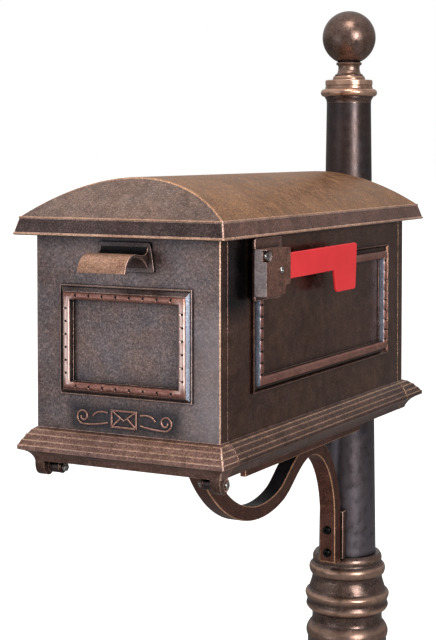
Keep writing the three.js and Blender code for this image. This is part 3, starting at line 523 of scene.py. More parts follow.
def door_shape():
    rings = []
    for reach, z in levels_to(DOOR_TOP):
        x, y = HALF + BASE_REACH["side"] * reach, -BASE_REACH["front"] * reach
        rings.append(capped(x, DOOR_BACK, y, z))
    pan = brick((-HALF + WALL, WALL, SKIRT + 4), (HALF - WALL, DOOR_BACK + 1, DOOR_TOP - 4))
    panel = brick((-66, -3, 53), (66, 2, 140))
    return cut(loft(rings), pan, panel)


def in_moulding(face):
    return face.center.z < at(0, 0, 0.8).z


def door_face():
    made = piece("door_face", door_shape(), [DOOR, EDGE], "door", ["door_panel"],
                 bevel=0.8)
    paint(made, WALLS, lambda face: abs(face.normal.x) > 0.9 and not in_moulding(face))
    paint(made, WARM, in_moulding)
    # Ledges and corner flats: bared copper with a painted highlight.
    paint(made, RIDGE, lambda face: on_ledge(face) or worn_gleaming_corner(face))
    paint(made, EDGE, lambda face: worn_gleaming_corner(face) and in_moulding(face))


def door_frame():
    """A sloping rib, and inside it the bar with notches; its uprights are painted bright as a highlight."""
    rib = [(0, -1, 0), (0, 2.2, 0), (0.4, 2.8, 0), (1.1, 2.8, 0), (1.5, 2.2, 0), (1.7, 1.0, 0),
           (5.8, 5.0, 0), (6.2, 5.0, 0), (6.2, -1, 0)]
    shape, _ = picture_frame((-80, 39, 80, 156), rib, on_door, reach=(1, 1, 1.32, 1))
    made = piece("door_frame_rib", shape, [DOOR, EDGE], "door", bevel=0.3)
    # Painted light: the rib's flanks facing the right-hand lamp take a silvery sheen.
    paint(made, SILVER, lambda face: face.normal.x > 0.5 and face.normal.y < -0.5)
    bar = [(0, -1, 0), (0, 4.6, 0), (0.4, 5.8, 0), (1.2, 6.6, 0), (2.1, 6.9, 1), (3.3, 7.1, 1),
           (4.4, 7.05, 1), (5.4, 6.95, 0), (6.6, 6.6, 0), (7.4, 5.8, 0), (7.8, 4.6, 0), (7.8, -3, 0)]
    across, upward = evenly(8, 147.6, 16), evenly(6, 102.6, 17)
    shape, dips = picture_frame((-73.8, 45.2, 73.8, 147.8), bar, on_door, [across, upward] * 2, 1.3)
    made = piece("door_frame_bar", shape, [PALE], "door", bevel=0, sharp=50)
    low, high = at(0, 0, 50).z, at(0, 0, 143).z
    # Painted highlight along the bar's uprights.
    wear_and_sheen(made, lambda co: 0.95 if abs(co.x) > 66 * MM and low < co.z < high else 0)
    paint(made, DOOR, lambda face: abs(face.normal.y) < 0.2)
    # Painted shade in the notches.
    paint(made, SHADOW, lambda face: face.index in dips)


def side_wall(side, name):
    rings = []
    inner = side * (HALF - WALL)
    for reach, z in levels_to(WALL_TOP):
        x = side * (HALF + BASE_REACH["side"] * reach)
        plan = [(inner, SIDE_FRONT), (x, SIDE_FRONT), (x, SIDE_BACK), (inner, SIDE_BACK)]
        rings.append([at(u, v, z) for u, v in plan])
    x0, x1 = sorted((side * (HALF - 2), side * (HALF + 3)))
    panel = brick((x0, 87, 58.5), (x1, 423, 162.5))
    x0, x1 = sorted((side * (HALF - WALL - 14), side * (HALF - WALL + 1)))
    lip = brick((x0, 40, WALL_TOP - 4), (x1, 470, WALL_TOP))
    made = piece(f"side_wall_{name}", fused(cut(loft(rings), panel), lip), [WALLS, WARM],
                 stands_for=[f"side_panel_{name}"], bevel=0.6)
    paint(made, CASTING, in_moulding)
    # Ledges: bared copper with a painted highlight.
    paint(made, RIDGE, on_ledge)


def side_frame(side, name):
    on_wall = lambda u, v, h: at(side * (HALF + h), u, v)
    rib = [(0, -1, 0), (0, 2.4, 0), (0.4, 3, 0), (1.2, 3, 0), (2, 2, 0), (3.2, 0.8, 0), (4, -1, 0)]
    shape, _ = picture_frame((70, 42, 445, 179), rib, on_wall)
    piece(f"side_frame_rib_{name}", shape, [WALLS, WARM], bevel=0.3)
    bar = [(0, -1, 0), (0, 4.4, 0), (0.7, 5.9, 0), (2, 6.7, 0.5), (3.4, 7, 1), (4.5, 7.05, 1), (5.6, 7, 1),
           (7.2, 6.6, 0.5), (8.5, 5.5, 0), (9, 4.2, 0), (9, -3, 0)]
    upward = evenly(9, 122, 12)
    shape, dips = picture_frame((78, 49.5, 432, 171.5), bar, on_wall, [[], upward] * 2, 1.6)
    made = piece(f"side_frame_bar_{name}", shape, [PALE], bevel=0, sharp=50)
    paint(made, WALLS, lambda face: abs(face.normal.x) < 0.2)
    # Painted light: the bar's front-facing faces take a silvery sheen.
    paint(made, SILVER, lambda face: face.normal.y < -0.8)
    # Painted shade in the notches.
    paint(made, SHADOW, lambda face: face.index in dips)


def back_pan():
    rings = []
    for reach, z in levels_to(WALL_TOP):
        x, y = HALF + BASE_REACH["side"] * reach, DEPTH + BASE_REACH["back"] * reach
        rings.append(capped(x, BACK_FRONT, y, z))
    pan = brick((-HALF + WALL, BACK_FRONT - 1, SKIRT + 4), (HALF - WALL, DEPTH - WALL, WALL_TOP - 4))
    made = piece("back_wall", cut(loft(rings), pan), [WALLS, RUBBED_GLEAM],
                 stands_for=["back_panel"])
    paint(made, CASTING, in_moulding)
    # Ledges and corner flats: bared copper with a painted highlight.
    paint(made, RIDGE, lambda face: on_ledge(face) or worn_gleaming_corner(face))


# How far the roof stands out, and the eave's levels as (share of that, height).
ROOF_REACH = {"side": 15.7, "front": 22.2, "back": 33.8}
VAULT_SEAT = 0.7       # share at the vault's foot
VAULT_SLOPE = 0.95     # how far the vault's ends lean in for each millimetre of height
EAVE_LEVELS = [
    (0.93, EAVE_LOW), (1, EAVE_LOW + 0.8), (1, EAVE_LOW + 2.2), (0.94, EAVE_LOW + 2.9),
    (0.93, EAVE_LOW + 4.2), (0.73, EAVE_HIGH - 2.4), (0.76, EAVE_HIGH - 1.8), (0.76, EAVE_HIGH - 0.5),
    (VAULT_SEAT, EAVE_HIGH),
]


def vault_shape(half, rise, base, front, back, rub_and_gleam=0.0, steps=48):
    """A barrel whose ends slope back, with a narrow flat along the edge of each end."""
    radius = (half ** 2 + rise ** 2) / (2 * rise)
    edge = math.asin(half / radius)
    turns = [edge * (2 * i / steps - 1) for i in range(steps + 1)]
    points = [(radius * math.sin(turn), radius * (math.cos(turn) - math.cos(edge))) for turn in turns]
    near = [at(x, front + VAULT_SLOPE * h + rub_and_gleam, base + h) for x, h in points]
    far = [at(x, back - VAULT_SLOPE * h - rub_and_gleam, base + h) for x, h in points]
    if not rub_and_gleam:
        return loft([near, far])
    within = [(x * (1 - rub_and_gleam / half), h * (1 - rub_and_gleam / rise)) for x, h in points]
    first = [at(x, front + VAULT_SLOPE * h, base + h) for x, h in within]
    last = [at(x, back - VAULT_SLOPE * h, base + h) for x, h in within]
    return loft([first, near, far, last])


def roof_eave():
    rings = []
    for reach, z in EAVE_LEVELS:
        x = HALF + ROOF_REACH["side"] * reach
        front, back = -ROOF_REACH["front"] * reach, DEPTH + ROOF_REACH["back"] * reach
        near, far = (capped(x, DEPTH / 2, y, z)[1:5] for y in (front, back))
        rings.append(near + far[::-1])
    opening = brick((-91, 34, 190), (91, 474, EAVE_HIGH + 2))
    made = piece("roof_eave", cut(loft(rings), opening), [EAVE, EDGE], bevel=0.7)
    # Painted light: the eave's sides take brighter, warmer copper than its front.
    paint(made, WARM, lambda face: abs(face.normal.x) > 0.5)
    lip, brow = at(0, 0, EAVE_LOW + 2.9).z, at(0, 0, EAVE_HIGH - 2.4).z
    # Bared copper with a painted highlight on the eave's upper and lower bands.
    paint(made, RUBBED_GLEAM, lambda face: face.normal.z > -0.5 and not lip < face.center.z < brow)
    paint(made, EDGE, worn_gleaming_corner)


def roof_vault():
    half = HALF + VAULT_SEAT * ROOF_REACH["side"] - 0.3
    front = -VAULT_SEAT * ROOF_REACH["front"] + 0.3
    back = DEPTH + VAULT_SEAT * ROOF_REACH["back"] - 0.3
    inner = vault_shape(half - 8, 36.8, EAVE_HIGH - 3, front + 8, back - 8)
    vault = cut(vault_shape(half, 42.3, EAVE_HIGH - 0.6, front, back, 1.6), inner)
    made = piece("roof_vault", vault, [ROOF, RUBBED_GLEAM], stands_for=["roof"], bevel=0.6)
    # Painted shade: the vault's front end takes the darker, cooler copy.
    paint(made, VAULT_FRONT, lambda face: face.normal.y < -0.5 and face.normal.z > 0.3)
    # Bared copper with a painted highlight on the flats round the vault's ends.
    paint(made, RUBBED_GLEAM, lambda face: 0.15 < abs(face.normal.y) < 0.55 and face.normal.z > 0.3)


# ---- hinges ----
def about_hinge(side):
    return lambda u, v, x: at(side * x, HINGE[0] + u, HINGE[1] + v)


def hinge_foot(side, name):
    low, high = 101, 112.3
    web = [(-3, SKIRT + 2), (-3, SKIRT - 1.5)]
    web += bezier((-3, SKIRT - 1.5), (-2.6, -46), (-0.5, -50), (7, -52), 8)[1:]
    web += bezier((7, -52), (11, -52.4), (13.5, -51), (14, -49), 5)[1:] + [(15, SKIRT + 2)]
    edges = sorted((side * low, side * high))
    curl = [(5.4, high - 2.6), (5.4, high - 0.6), (6, high), (6.9, high), (7.2, high - 0.5),
            (7.2, low + 0.5), (6.8, low), (3, low), (3, high - 2.6), (5.4, high - 2.6)]
    put = about_hinge(side)
    bore = turned([(6.6, low - 2), (6.6, high + 2)], 32, put)
    piece(f"hinge_foot_{name}", cut(prism(web, edges[0], edges[1], along_x), bore),
          [CASTING, EDGE], "door", bevel=0.6, sharp=40)
    piece(f"hinge_curl_{name}", turned(curl, 40, put), [EDGE], "door", bevel=0.2)


def hinge_fixed(side, name):
    put = about_hinge(side)
    low, high = 88, 99.5
    ear = [(12, -49.5), (24, -40.2), (44, -40.2), (44, SKIRT - 0.3), (18.5, SKIRT - 0.3), (16, -37.9)]
    ear += arc(*HINGE, 6.5, 6.5, 52, 270, 16)[1:-1]
    edges = sorted((side * low, side * high))
    bore = turned([(2.8, low - 2), (2.8, high + 2)], 24, put)
    piece(f"hinge_ear_{name}", cut(prism(ear, edges[0], edges[1], along_x), bore),
          [SHAFT, EDGE], stands_for=[f"hinge_bracket_{name}"], bevel=0.5, sharp=40)
    pin = [(0.4, 80.2), (2.2, 80.2), (2.5, 80.6), (2.5, 112.6), (3.6, 112.6), (4, 113), (4, 113.5),
           (3.2, 114.3), (2, 114.6), (0.4, 114.6)]
    piece(f"hinge_rod_{name}", turned(pin, 28, put), [STEEL],
          stands_for=[f"hinge_pin_{name}"], bevel=0)
    washer = [(2.8, 85.6), (6.4, 85.6), (6.8, 86), (6.8, 87.3), (6.4, 87.7), (2.8, 87.7), (2.8, 85.6)]
    piece(f"hinge_collar_{name}", turned(washer, 32, put), [CASTING],
          stands_for=[f"hinge_washer_{name}"], bevel=0)
    nut = [(2.8, 81.5), (4.4, 81.5), (5, 82.1), (5, 84.7), (4.4, 85.3), (2.8, 85.3), (2.8, 81.5)]
    piece(f"hinge_locknut_{name}", turned(nut, 6, put), [STEEL],
          stands_for=[f"hinge_nut_{name}"], bevel=0.2, sharp=20)


# ---- handle ----
def handle():
    pull = [(-0.3, 200), (-2.6, 199.4)]
    pull += bezier((-2.6, 199.4), (-2.6, 193.4), (-5.4, 190.1), (-11, 190), 8)[1:]
    pull += bezier((-11, 190), (-20, 189.6), (-24, 192), (-28, 191.8), 10)[1:]
    pull += bezier((-28, 191.8), (-40, 191), (-46.5, 184), (-48.2, 172.8), 14)[1:]
    pull += bezier((-45.2, 172.6), (-43.5, 182), (-38, 188.4), (-27, 188.6), 14)
    pull += bezier((-27, 188.6), (-16, 188.6), (-8, 183), (-3, 176), 12)[1:] + [(-0.3, 173)]
    made = piece("handle_pull", prism(pull, -28.5, 28.5, along_x), [PULL, EDGE], "door",
                 ["door_handle"], bevel=0.45, sharp=45)
    hollow = at(0, -11.5, 190)
    # Painted shade in the hollow above the pull.
    paint(made, SHADOW, lambda face: face.center.y > hollow.y and abs(face.normal.x) < 0.5)
    paint(made, DOOR, lambda face: face.center.z < hollow.z and face.center.y > at(0, -30, 0).y)
    plate = softened([(-31, 202.6), (-36, 171.2), (36, 171.2), (31, 202.6)], 2)
    piece("handle_plate", prism(plate, -0.3, -2.7, along_y), [DOOR], "door", bevel=0.6,
          sharp=45)


# ---- ornament ----
def ribbon(path, width, height, put, taper=0.6):
    """A raised stroke with sloping flanks along an open path."""
    rings = []
    for i, point in enumerate(path):
        ahead = Vector(path[min(i + 1, len(path) - 1)]) - Vector(path[max(i - 1, 0)])
        across = Vector((-ahead.y, ahead.x)).normalized() * width / 2
        here = Vector(point)
        section = ((1, -0.5), (taper, height), (-taper, height), (-1, -0.5))
        rings.append([put(*(here + across * share), h) for share, h in section])
    return loft(rings)


def ornament():
    cx, cz, w, h = ORNAMENT[0], ORNAMENT[2], 16, 9.8
    rim = [(0, -0.5, 0), (0.3, 1.5, 0), (2.0, 1.5, 0), (2.3, -0.5, 0)]
    shape, _ = picture_frame((cx - w, cz - h, cx + w, cz + h), rim, on_door)
    piece("envelope_rim", shape, [PALE, EDGE], "door", bevel=0.3)
    folds = {"flap": [(-w + 1, h - 1), (0, -1.5), (w - 1, h - 1)]}
    folds.update({"fold_left": [(-w + 1, -h + 1), (-4, 1)], "fold_right": [(w - 1, -h + 1), (4, 1)]})
    for name, path in folds.items():
        stroke(f"envelope_{name}", [(cx + u, cz + v) for u, v in path], on_door)
    for side, name in SIDES:
        stroke(f"scroll_{name}", [(cx + side * u, cz + v) for u, v in scroll_path()], on_door)
        leaf = bezier((20, 5.5), (28, 7.5), (35, 6), (38, 0.5), 10)
        stroke(f"leaf_{name}", [(cx + side * u, cz + v) for u, v in leaf], on_door)


def stroke(name, path, put):
    piece(name, ribbon(path, 2.3, 1.5, put), [PALE, EDGE], "door", bevel=0.3)


def scroll_path():
    """From beside the envelope outwards, then curling in on itself."""
    path = bezier((20, -5), (30, -7), (38, -8.2), (50, -8.2), 10)
    turns = 24
    for i in range(1, turns + 1):
        angle = math.radians(-90 + 19 * i)
        radius = 8.2 - 5.6 * i / turns
        path.append((50 + radius * math.cos(angle), radius * math.sin(angle)))
    return path


# ---- flag ----
def flag_plate():
    plate = softened([(55.5, 141), (119, 141), (119, 206), (55.5, 206)], 3)
    piece("flag_plate", prism(plate, 119.5, 122.5, along_x), [WARM, EDGE],
          stands_for=["flag_backplate"], bevel=0.5, sharp=40)


def flag_cover():
    """A shell over the pivot, open to the wall, with a slot for the blade and a screw's pocket."""
    corners = [(53.5, 145.5), (99.5, 146.6), (99.5, 156), (110.8, 156), (110.8, 195), (53.5, 195.5)]
    inside = [(57, 149), (96.5, 149.5), (96.5, 159.4), (112, 159.4), (112, 192), (67.5, 192), (67.5, 180.5),
              (57, 180.5)]
    shell = prism(softened(corners, 2), 122.8, 136.9, along_x)
    hollow = prism(inside, 121, 133.9, along_x)
    slot = brick((127.4, 70.5, 190), (133, 112, 197))
    pocket = prism(arc(59, 188, 6.4, 6.4, 0, 348, 29), 132, 138, along_x)
    mouth = brick((132, 52, 182), (138, 59, 194))
    made = piece("flag_cover", cut(shell, hollow, slot, pocket, mouth),
                 [HOUSING, EDGE], stands_for=["flag_housing"], bevel=0.7, sharp=40)
    # Painted light on the cover's front faces.
    paint(made, LIT_FRONT, lambda face: face.normal.y < -0.7)


def flag_blade():
    blade = arc(*PIVOT, 14, 14, 90, 270, 20) + [(88, 160), (237, 161)]
    blade += bezier((242, 140), (242.6, 137), (244.6, 135.6), (248, 135.6), 5)
    blade += bezier((294, 135.6), (297, 135.6), (298.5, 137), (298.7, 140), 5)
    blade += bezier((302, 184), (302, 187.6), (300.4, 189.4), (297, 189.4), 5) + [(108, 188)]
    flat = prism(blade, 128.6, 131.8, along_x)
    bore = turned([(3.4, 127), (3.4, 133)], 28, lambda u, v, x: at(x, PIVOT[0] + u, PIVOT[1] + v))
    piece("flag_blade", cut(flat, bore), [FLAG_RED], "flag", ["signal_flag"],
          bevel=1.2, sharp=50, segments=4)


def hex_reach(radius, height, angle):
    """The ring marked by a negative radius is the rim of a six-sided socket."""
    if radius > 0:
        return radius
    turn = math.radians(30)
    return -radius * math.cos(turn) / math.cos(angle % (2 * turn) - turn)


def button_head(name, put, radius, dome, seat, socket, finish, stands_for, body=BODY):
    """A domed cap screw with a hexagon socket; heights run out from its seat."""
    deep = seat + dome * 0.3
    profile = [(0.3, deep), (-socket, deep), (-socket, seat + dome), (socket * 1.15, seat + dome)]
    for angle in (70, 50, 32, 16, 4):
        turn = math.radians(angle)
        reach, height = 0.55 + 0.45 * math.cos(turn), 0.12 + 0.88 * math.sin(turn)
        profile.append((radius * reach, seat + dome * height))
    profile += [(radius, seat + dome * 0.08), (radius * 0.96, seat), (0.3, seat)]
    piece(name, turned(profile, 36, put, hex_reach), [finish], body, [stands_for], bevel=0, sharp=50)


def flag_fasteners():
    outwards = lambda cy, cz: (lambda u, v, x: at(x, cy + u, cz + v))
    button_head("pocket_screw", outwards(60, 188), 4, 2.4, 132.3, 1.7, STEEL, "housing_screw")
    for name, y in (("front", 72), ("rear", 104)):
        button_head(f"plate_screw_{name}", outwards(y, 187), 3.8, 2.2, 122.8, 1.6, STEEL,
                    f"flag_screw_{name}")
    rivet = [(0.3, 118.6), (4.4, 118.6), (4.6, 119.2), (3, 119.2), (3, 137.2), (3.6, 137.2), (3.5, 138),
             (3, 138.6), (2.1, 139), (1.2, 138.9), (1.0, 138.4), (0.3, 138.4)]
    piece("pivot_rivet", turned(rivet, 32, outwards(*PIVOT)), [STEEL],
          stands_for=["flag_rivet"], bevel=0, sharp=50)


# ---- bracket ----
SCROLL_TOP = -42.1     # the scroll's loop and its pedestal meet the channel here
HUMP = 443             # Y of the bar's hump
LEG_FRONT, LEG_BACK = 515, 535


def along_arc(centre, radius, start, end, steps):
    """Points of a circle's arc from beside one point to beside another."""
    first, last = (math.degrees(math.atan2(z - centre[1], y - centre[0])) for y, z in (start, end))
    return arc(*centre, radius, radius, first, last, steps)


def meets(centre, radius, z):
    """Where the front of a circle reaches a height."""
    return centre[0] - math.sqrt(radius ** 2 - (z - centre[1]) ** 2), z


def scroll_outline():
    """Down the front loop's outside, over the hump to the leg, and back along the inside."""
    outside, outside_radius = (300, 38.6), 187.3
    inside, inside_radius = (299.5, 12.9), 144.8
    front, rise = meets(outside, outside_radius, SCROLL_TOP), (362, -138)
    outline = along_arc(outside, outside_radius, front, rise, 30)
    outline += bezier(rise, (385, -130), (412, -97.5), (HUMP, -97.5), 12)[1:]
    outline += arc(HUMP, -195, LEG_FRONT - HUMP, 97.5, 90, 0, 18)[1:]
    outline += [(LEG_FRONT, -255), (LEG_FRONT + 3, -258), (LEG_BACK, -258), (LEG_BACK, -205)]
    outline += arc(HUMP, -205, LEG_BACK - HUMP, 127, 0, 90, 20)[1:]
    fall, back = (350, -122.6), meets(inside, inside_radius, SCROLL_TOP)
    outline += bezier((HUMP, -78), (398, -80), (370, -115), fall, 12)[1:]
    return outline + along_arc(inside, inside_radius, fall, back, 26)[1:]


def scroll_width(y):
    """Half the bar's width, growing from the loop to the leg."""
    return 8.8 + 2.4 * max(0.0, min(1.0, (y - 150) / 365))


def scroll_bar():
    outline = scroll_outline()
    bar = loft([[at(side * scroll_width(y), y, z) for y, z in outline] for side in (-1, 1)])
    made = piece("scroll_bar", bar, [BRACKET, RUBBED_GLEAM],
                 stands_for=["scroll_bracket"], bevel=1.1, sharp=42)
    # Painted shade on the bar's upward faces under the box.
    paint(made, SHADOW, lambda face: face.normal.z > 0.25 and abs(face.normal.x) < 0.2)
    pedestal = brick((-9.8, 414, -86), (9.8, 468, SCROLL_TOP))
    piece("scroll_pedestal", pedestal, [BRACKET, RUBBED_GLEAM], bevel=0.8)


def leg_fixing():
    """Two screws through the leg, and the saddle between it and the post."""
    for name, z in (("upper", -212), ("lower", -242.5)):
        forwards = lambda u, v, out, z=z: at(u, LEG_FRONT - 0.3 - out, z + v)
        button_head(f"leg_button_{name}", forwards, 5.6, 3.6, 0, 2.2, BLACK,
                    f"leg_screw_{name}")
    saddle = brick((-14, LEG_BACK + 0.3, -254), (14, 560, -190))
    shaft = turned([(shaft_reach(z) + 0.2, z) for z in (820, 980)], 64, on_post)
    piece("leg_saddle", cut(saddle, shaft), [CASTING, EDGE],
          stands_for=["bracket_pad"], bevel=0.8)


def box_channel():
    """A channel under the floor; behind its flanges the web goes on alone."""
    half, flange, top, under, foot = 80, 7, -35.8, -41.8, -57.6
    section = [(-half, top), (-half, foot), (-half + flange, foot), (-half + flange, under),
               (half - flange, under), (half - flange, foot), (half, foot), (half, top)]
    tail = brick((-half, 430, under), (half, 470, top))
    piece("box_channel", fused(prism(section, 118, 438, along_y), tail), [BRACKET, RUBBED_GLEAM],
          stands_for=["mounting_channel"], bevel=0.8)


# ---- post ----
def shaft_reach(z):
    """Radius of the tapered shaft at a height."""
    share = (z - SHAFT_FOOT) / (POST_TOP - SHAFT_FOOT)
    return FOOT_RADIUS + (TOP_RADIUS - FOOT_RADIUS) * share


def smooth_profile(points, spread=3):
    """Catmull-Rom points through a turned profile."""
    out = []
    for i in range(len(points) - 1):
        p0, p1, p2, p3 = (Vector(points[max(0, min(len(points) - 1, i + k))]) for k in (-1, 0, 1, 2))
        for k in range(spread):
            t = k / spread
            out.append(tuple(0.5 * (2 * p1 + (p2 - p0) * t + (2 * p0 - 5 * p1 + 4 * p2 - p3) * t * t
                                    + (3 * p1 - p0 - 3 * p2 + p3) * t ** 3)))
    return out + [tuple(points[-1])]


def post_shaft():
    heights = [SHAFT_FOOT + (POST_TOP - SHAFT_FOOT) * i / 40 for i in range(41)]
    outer = [(shaft_reach(z), z) for z in heights]
    inner = [(shaft_reach(z) - SHAFT_WALL, z) for z in (heights[-1], heights[0])]
    made = piece("post_tube", turned(outer + inner + outer[:1], 96, on_post), [SHAFT],
                 stands_for=["post_shaft"], bevel=0)
    # Painted light: the shaft grows paler and cooler towards its foot.
    wear_and_sheen(made, lambda co: (1150 - co.z / MM) / 600)


def post_cap():
    seat = POST_TOP + 0.3
    cavetto = [(30.2, 0), (30.1, 1.5), (30.5, 4), (31.3, 6.2), (32.6, 7.6), (32.7, 8.8)]
    torus = arc(33.2, 14.5, 5, 5.1, -86, 84, 16)
    disc = [(32, 20.4), (32, 22.8), (31.2, 23.4), (31.2, 24.4), (32, 25), (32, 30.6), (31.2, 31.7),
            (25, 31.9), (21.9, 32.4), (21.9, 34.4), (20.6, 37.1)]
    bore = [(8, 37.2), (8, 0)]
    profile = [(radius, seat + height) for radius, height in cavetto + torus + disc + bore + cavetto[:1]]
    made = piece("cap_mould", turned(profile, 96, on_post), [TURNED],
                 stands_for=["post_cap"], bevel=0, sharp=30)
    wear_and_sheen(made, lambda co: 0.85 if co.z / MM > seat + 9.5 else 0.0)


def finial():
    neck = [(0.3, 1516.9), (19, 1516.9), (19.2, 1518.2), (16.8, 1519.6), (15.4, 1521.6), (14.6, 1525),
            (14.4, 1529), (15, 1530.8), (16.9, 1531.8), (17.5, 1533.4), (16.9, 1535)]
    ball = arc(0, BALL_CENTRE, BALL_RADIUS, BALL_RADIUS, -66, 90, 44)
    profile = neck + [(max(r, 0.2), z) for r, z in ball]
    made = piece("finial_ball", turned(profile, 96, on_post), [TURNED],
                 stands_for=["ball_finial"], bevel=0, sharp=30)
    wear_and_sheen(made, lambda co: 0.05 if co.z / MM > 1536 else 0.3)


# Turned profiles below and above the fluted shaft, as (radius, height).
COLUMN = [
    (84, COLUMN_LOW), (84, 26), (82, 29), (77, 33), (76, 38), (79.5, 44), (80, 50), (78.5, 56), (72, 62),
    (70, 70), (69, 76), (62, 84), (62, 92), (65, 98), (66, 106), (65, 114), (61, 122), (59.6, 130),
]
RINGS = [
    (54, 748), (55.6, 752), (56, 757), (54.6, 762), (52, 766.5), (49, 770), (47.9, 774), (47.9, 780),
    (49.4, 784.6), (53.8, 788), (56.2, 792.4), (55.2, 796.6), (54.6, 799.2), (55.6, 802), (57.4, 807.5),
    (56.2, 811.6), (52.4, 815), (51.2, 819), (49.6, 824), (48, 830), (48.4, 834.6), (50.9, 838),
    (52.1, 843), (51.2, 847.6), (48.2, 851), (47, 853.6), (47.4, 857.6), (46.6, 861.6), (44.2, COLUMN_HIGH),
]


def fluted(radius, height, angle):
    """Hollow flutes that fade out below and above; the bore stays round."""
    if not FLUTES_LOW < height < FLUTES_HIGH or radius < 50:
        return radius
    fade = min(1.0, (height - FLUTES_LOW) / 22, (FLUTES_HIGH - height) / 22)
    return radius - 2.6 * fade * (0.5 - 0.5 * math.cos(FLUTES * angle)) ** 0.7


def lower_column():
    heights = [138 + 6 * i for i in range(6)]
    heights += [190 + 52 * i for i in range(10)]
    heights += [712 + 6 * i for i in range(6)]
    shaft = [(60 - 6 * (z - 138) / 610, z) for z in heights]
    outer = smooth_profile(COLUMN) + shaft + smooth_profile(RINGS)
    closed = outer + [(SLEEVE_BORE, COLUMN_HIGH), (SLEEVE_BORE, COLUMN_LOW)] + outer[:1]
    made = piece("column_turned", turned(closed, 192, on_post, fluted), [TURNED],
                 stands_for=["lower_column"], bevel=0, sharp=50)
    wear_and_sheen(made, crest_wear(outer))


def ground_flange():
    rim = [(0.3, 0), (114, 0), (115, 1), (115, 8), (112, 11.6), (110, 12), (SLEEVE_BORE, 12), (0.3, 12)]
    holes = []
    for angle in (45, 135, 225, 315):
        turn = math.radians(angle)
        x, y = BOLT_CIRCLE * math.cos(turn), BOLT_CIRCLE * math.sin(turn)
        about_bolt = lambda u, v, z, x=x, y=y: on_post(x + u, y + v, z)
        holes.append(turned([(6.5, -2), (6.5, 14)], 28, about_bolt))
    piece("flange_plate", cut(turned(rim, 96, on_post), *holes), [CASTING, EDGE],
          stands_for=["ground_flange"], bevel=0.5)


# ---- nodes whose CAD mesh stays ----
def dress_cad_nodes():
    """Hidden fasteners, the floor plate, the sleeve and the catch keep their meshes."""
    finishes = {
        "floor_plate": WALLS, "coupling_sleeve": STEEL, "catch_magnet": MAGNET, "catch_strike": STEEL,
        "scroll_bolt": STEEL, "box_": STEEL, "roof_screw": STEEL, "back_screw": STEEL, "hinge_screw": STEEL,
        "handle_screw": STEEL,
    }
    for name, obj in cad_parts.items():
        if obj.hide_render:
            continue
        finish = next((f for start, f in finishes.items() if name.startswith(start)), CASTING)
        obj.data.materials.clear()
        obj.data.materials.append(finish)


# ---- stage ----
def floor():
    """A pale sweep: bright to the camera, dimmer as a source of bounced light."""
    data = bpy.data.meshes.new("stage_floor")
    size = 60
    corners = [(-size, -size, 0), (size, -size, 0), (size, size, 0), (-size, size, 0)]
    data.from_pydata(corners, [], [(0, 1, 2, 3)])
    made = bpy.data.objects.new("stage_floor", data)
    bpy.context.scene.collection.objects.link(made)
    material = bpy.data.materials.new("stage_pale")
    material.use_nodes = True
    tree = material.node_tree
    shader = tree.nodes["Principled BSDF"]
    shader.inputs["Roughness"].default_value = 0.9
    shader.inputs["Specular IOR Level"].default_value = 0.0
    direct = node(tree, "ShaderNodeLightPath").outputs["Is Camera Ray"]
    shade = blend(tree, direct, (0.28, 0.28, 0.28), (0.9, 0.9, 0.9))
    tree.links.new(shade, shader.inputs["Base Color"])
    shader.inputs["Emission Color"].default_value = (1, 1, 1, 1)
    tree.links.new(remap(tree, direct, 0, 1, 0, 0.75), shader.inputs["Emission Strength"])
    data.materials.append(material)


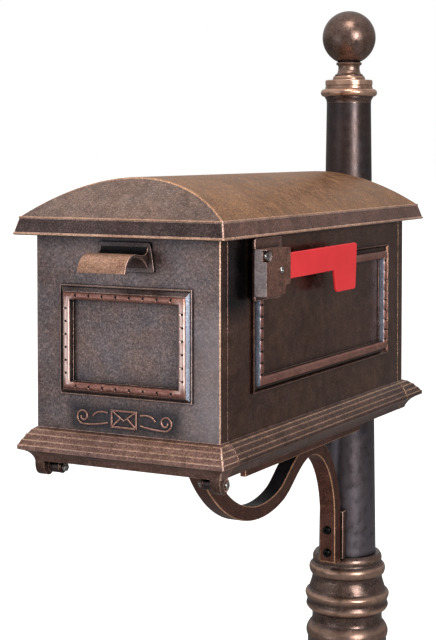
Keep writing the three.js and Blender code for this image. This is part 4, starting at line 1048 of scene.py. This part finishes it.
def sky():
    """White to the camera, and a soft studio gradient to everything that it lights."""
    world = bpy.data.worlds.new("studio")
    bpy.context.scene.world = world
    world.use_nodes = True
    tree = world.node_tree
    way = node(tree, "ShaderNodeTexCoord").outputs["Generated"]
    parts = node(tree, "ShaderNodeSeparateXYZ", {"Vector": way}).outputs
    ramp = node(tree, "ShaderNodeValToRGB", {"Fac": remap(tree, parts["Z"], -1, 1)}).color_ramp
    stops = ((0.44, 0.10), (0.50, 0.20), (0.56, 0.45), (0.75, 0.5), (1.0, 0.9))
    while len(ramp.elements) < len(stops):
        ramp.elements.new(0.5)
    for element, (place, value) in zip(ramp.elements, stops):
        element.position = place
        element.color = (value, value, value, 1)
    height = next(n for n in tree.nodes if n.type == "VALTORGB").outputs["Color"]
    across = remap(tree, parts["X"], -0.7, 0.7, 1.15, 0.6)
    glow = node(tree, "ShaderNodeBackground", {"Color": height, "Strength": across})
    seen = node(tree, "ShaderNodeBackground", {"Color": (1, 1, 1, 1), "Strength": 1.0})
    direct = node(tree, "ShaderNodeLightPath").outputs["Is Camera Ray"]
    chosen = node(tree, "ShaderNodeMixShader", {0: direct, 1: glow.outputs[0], 2: seen.outputs[0]})
    tree.links.new(chosen.outputs[0], tree.nodes["World Output"].inputs["Surface"])


def softbox(name, place, aim, width, height, power, tint=(1, 1, 1)):
    light = bpy.data.lights.new(name, "AREA")
    light.shape = "RECTANGLE"
    light.size, light.size_y, light.energy, light.color = width, height, power, tint
    made = bpy.data.objects.new(name, light)
    made.location = place
    made.rotation_euler = (Vector(aim) - Vector(place)).to_track_quat("-Z", "Y").to_euler()
    bpy.context.scene.collection.objects.link(made)


def studio():
    middle = at(0, 250, 100)
    softbox("right", (2.7, -2.0, 1.9), middle, 0.8, 1.3, 75)
    softbox("card", (-1.6, -3.4, 0.9), middle, 1.8, 1.2, 9, (0.86, 0.93, 1.0))
    softbox("top", (0.6, -1.2, 3.6), middle, 0.9, 0.9, 26, (1.0, 0.93, 0.86))
    floor()
    sky()
    bpy.context.scene.view_settings.view_transform = "Standard"


def camera():
    data = bpy.data.cameras.new("camera")
    data.lens, data.sensor_width, data.shift_y = 87.716, 36, -0.1646
    made = bpy.data.objects.new("camera", data)
    made.location = at(842.5, -1377.8, 300.9)
    made.rotation_euler = Euler((math.radians(87.5), 0, math.radians(28.038)))
    bpy.context.scene.collection.objects.link(made)
    bpy.context.scene.camera = made


camera()
studio()
post_shaft()
post_cap()
finial()
lower_column()
ground_flange()
scroll_bar()
leg_fixing()
box_channel()
for hand, side_name in SIDES:
    side_wall(hand, side_name)
    side_frame(hand, side_name)
    hinge_fixed(hand, side_name)
back_pan()
roof_eave()
roof_vault()
door_face()
door_frame()
for hand, side_name in SIDES:
    hinge_foot(hand, side_name)
handle()
ornament()
flag_plate()
flag_cover()
flag_blade()
flag_fasteners()
dress_cad_nodes()
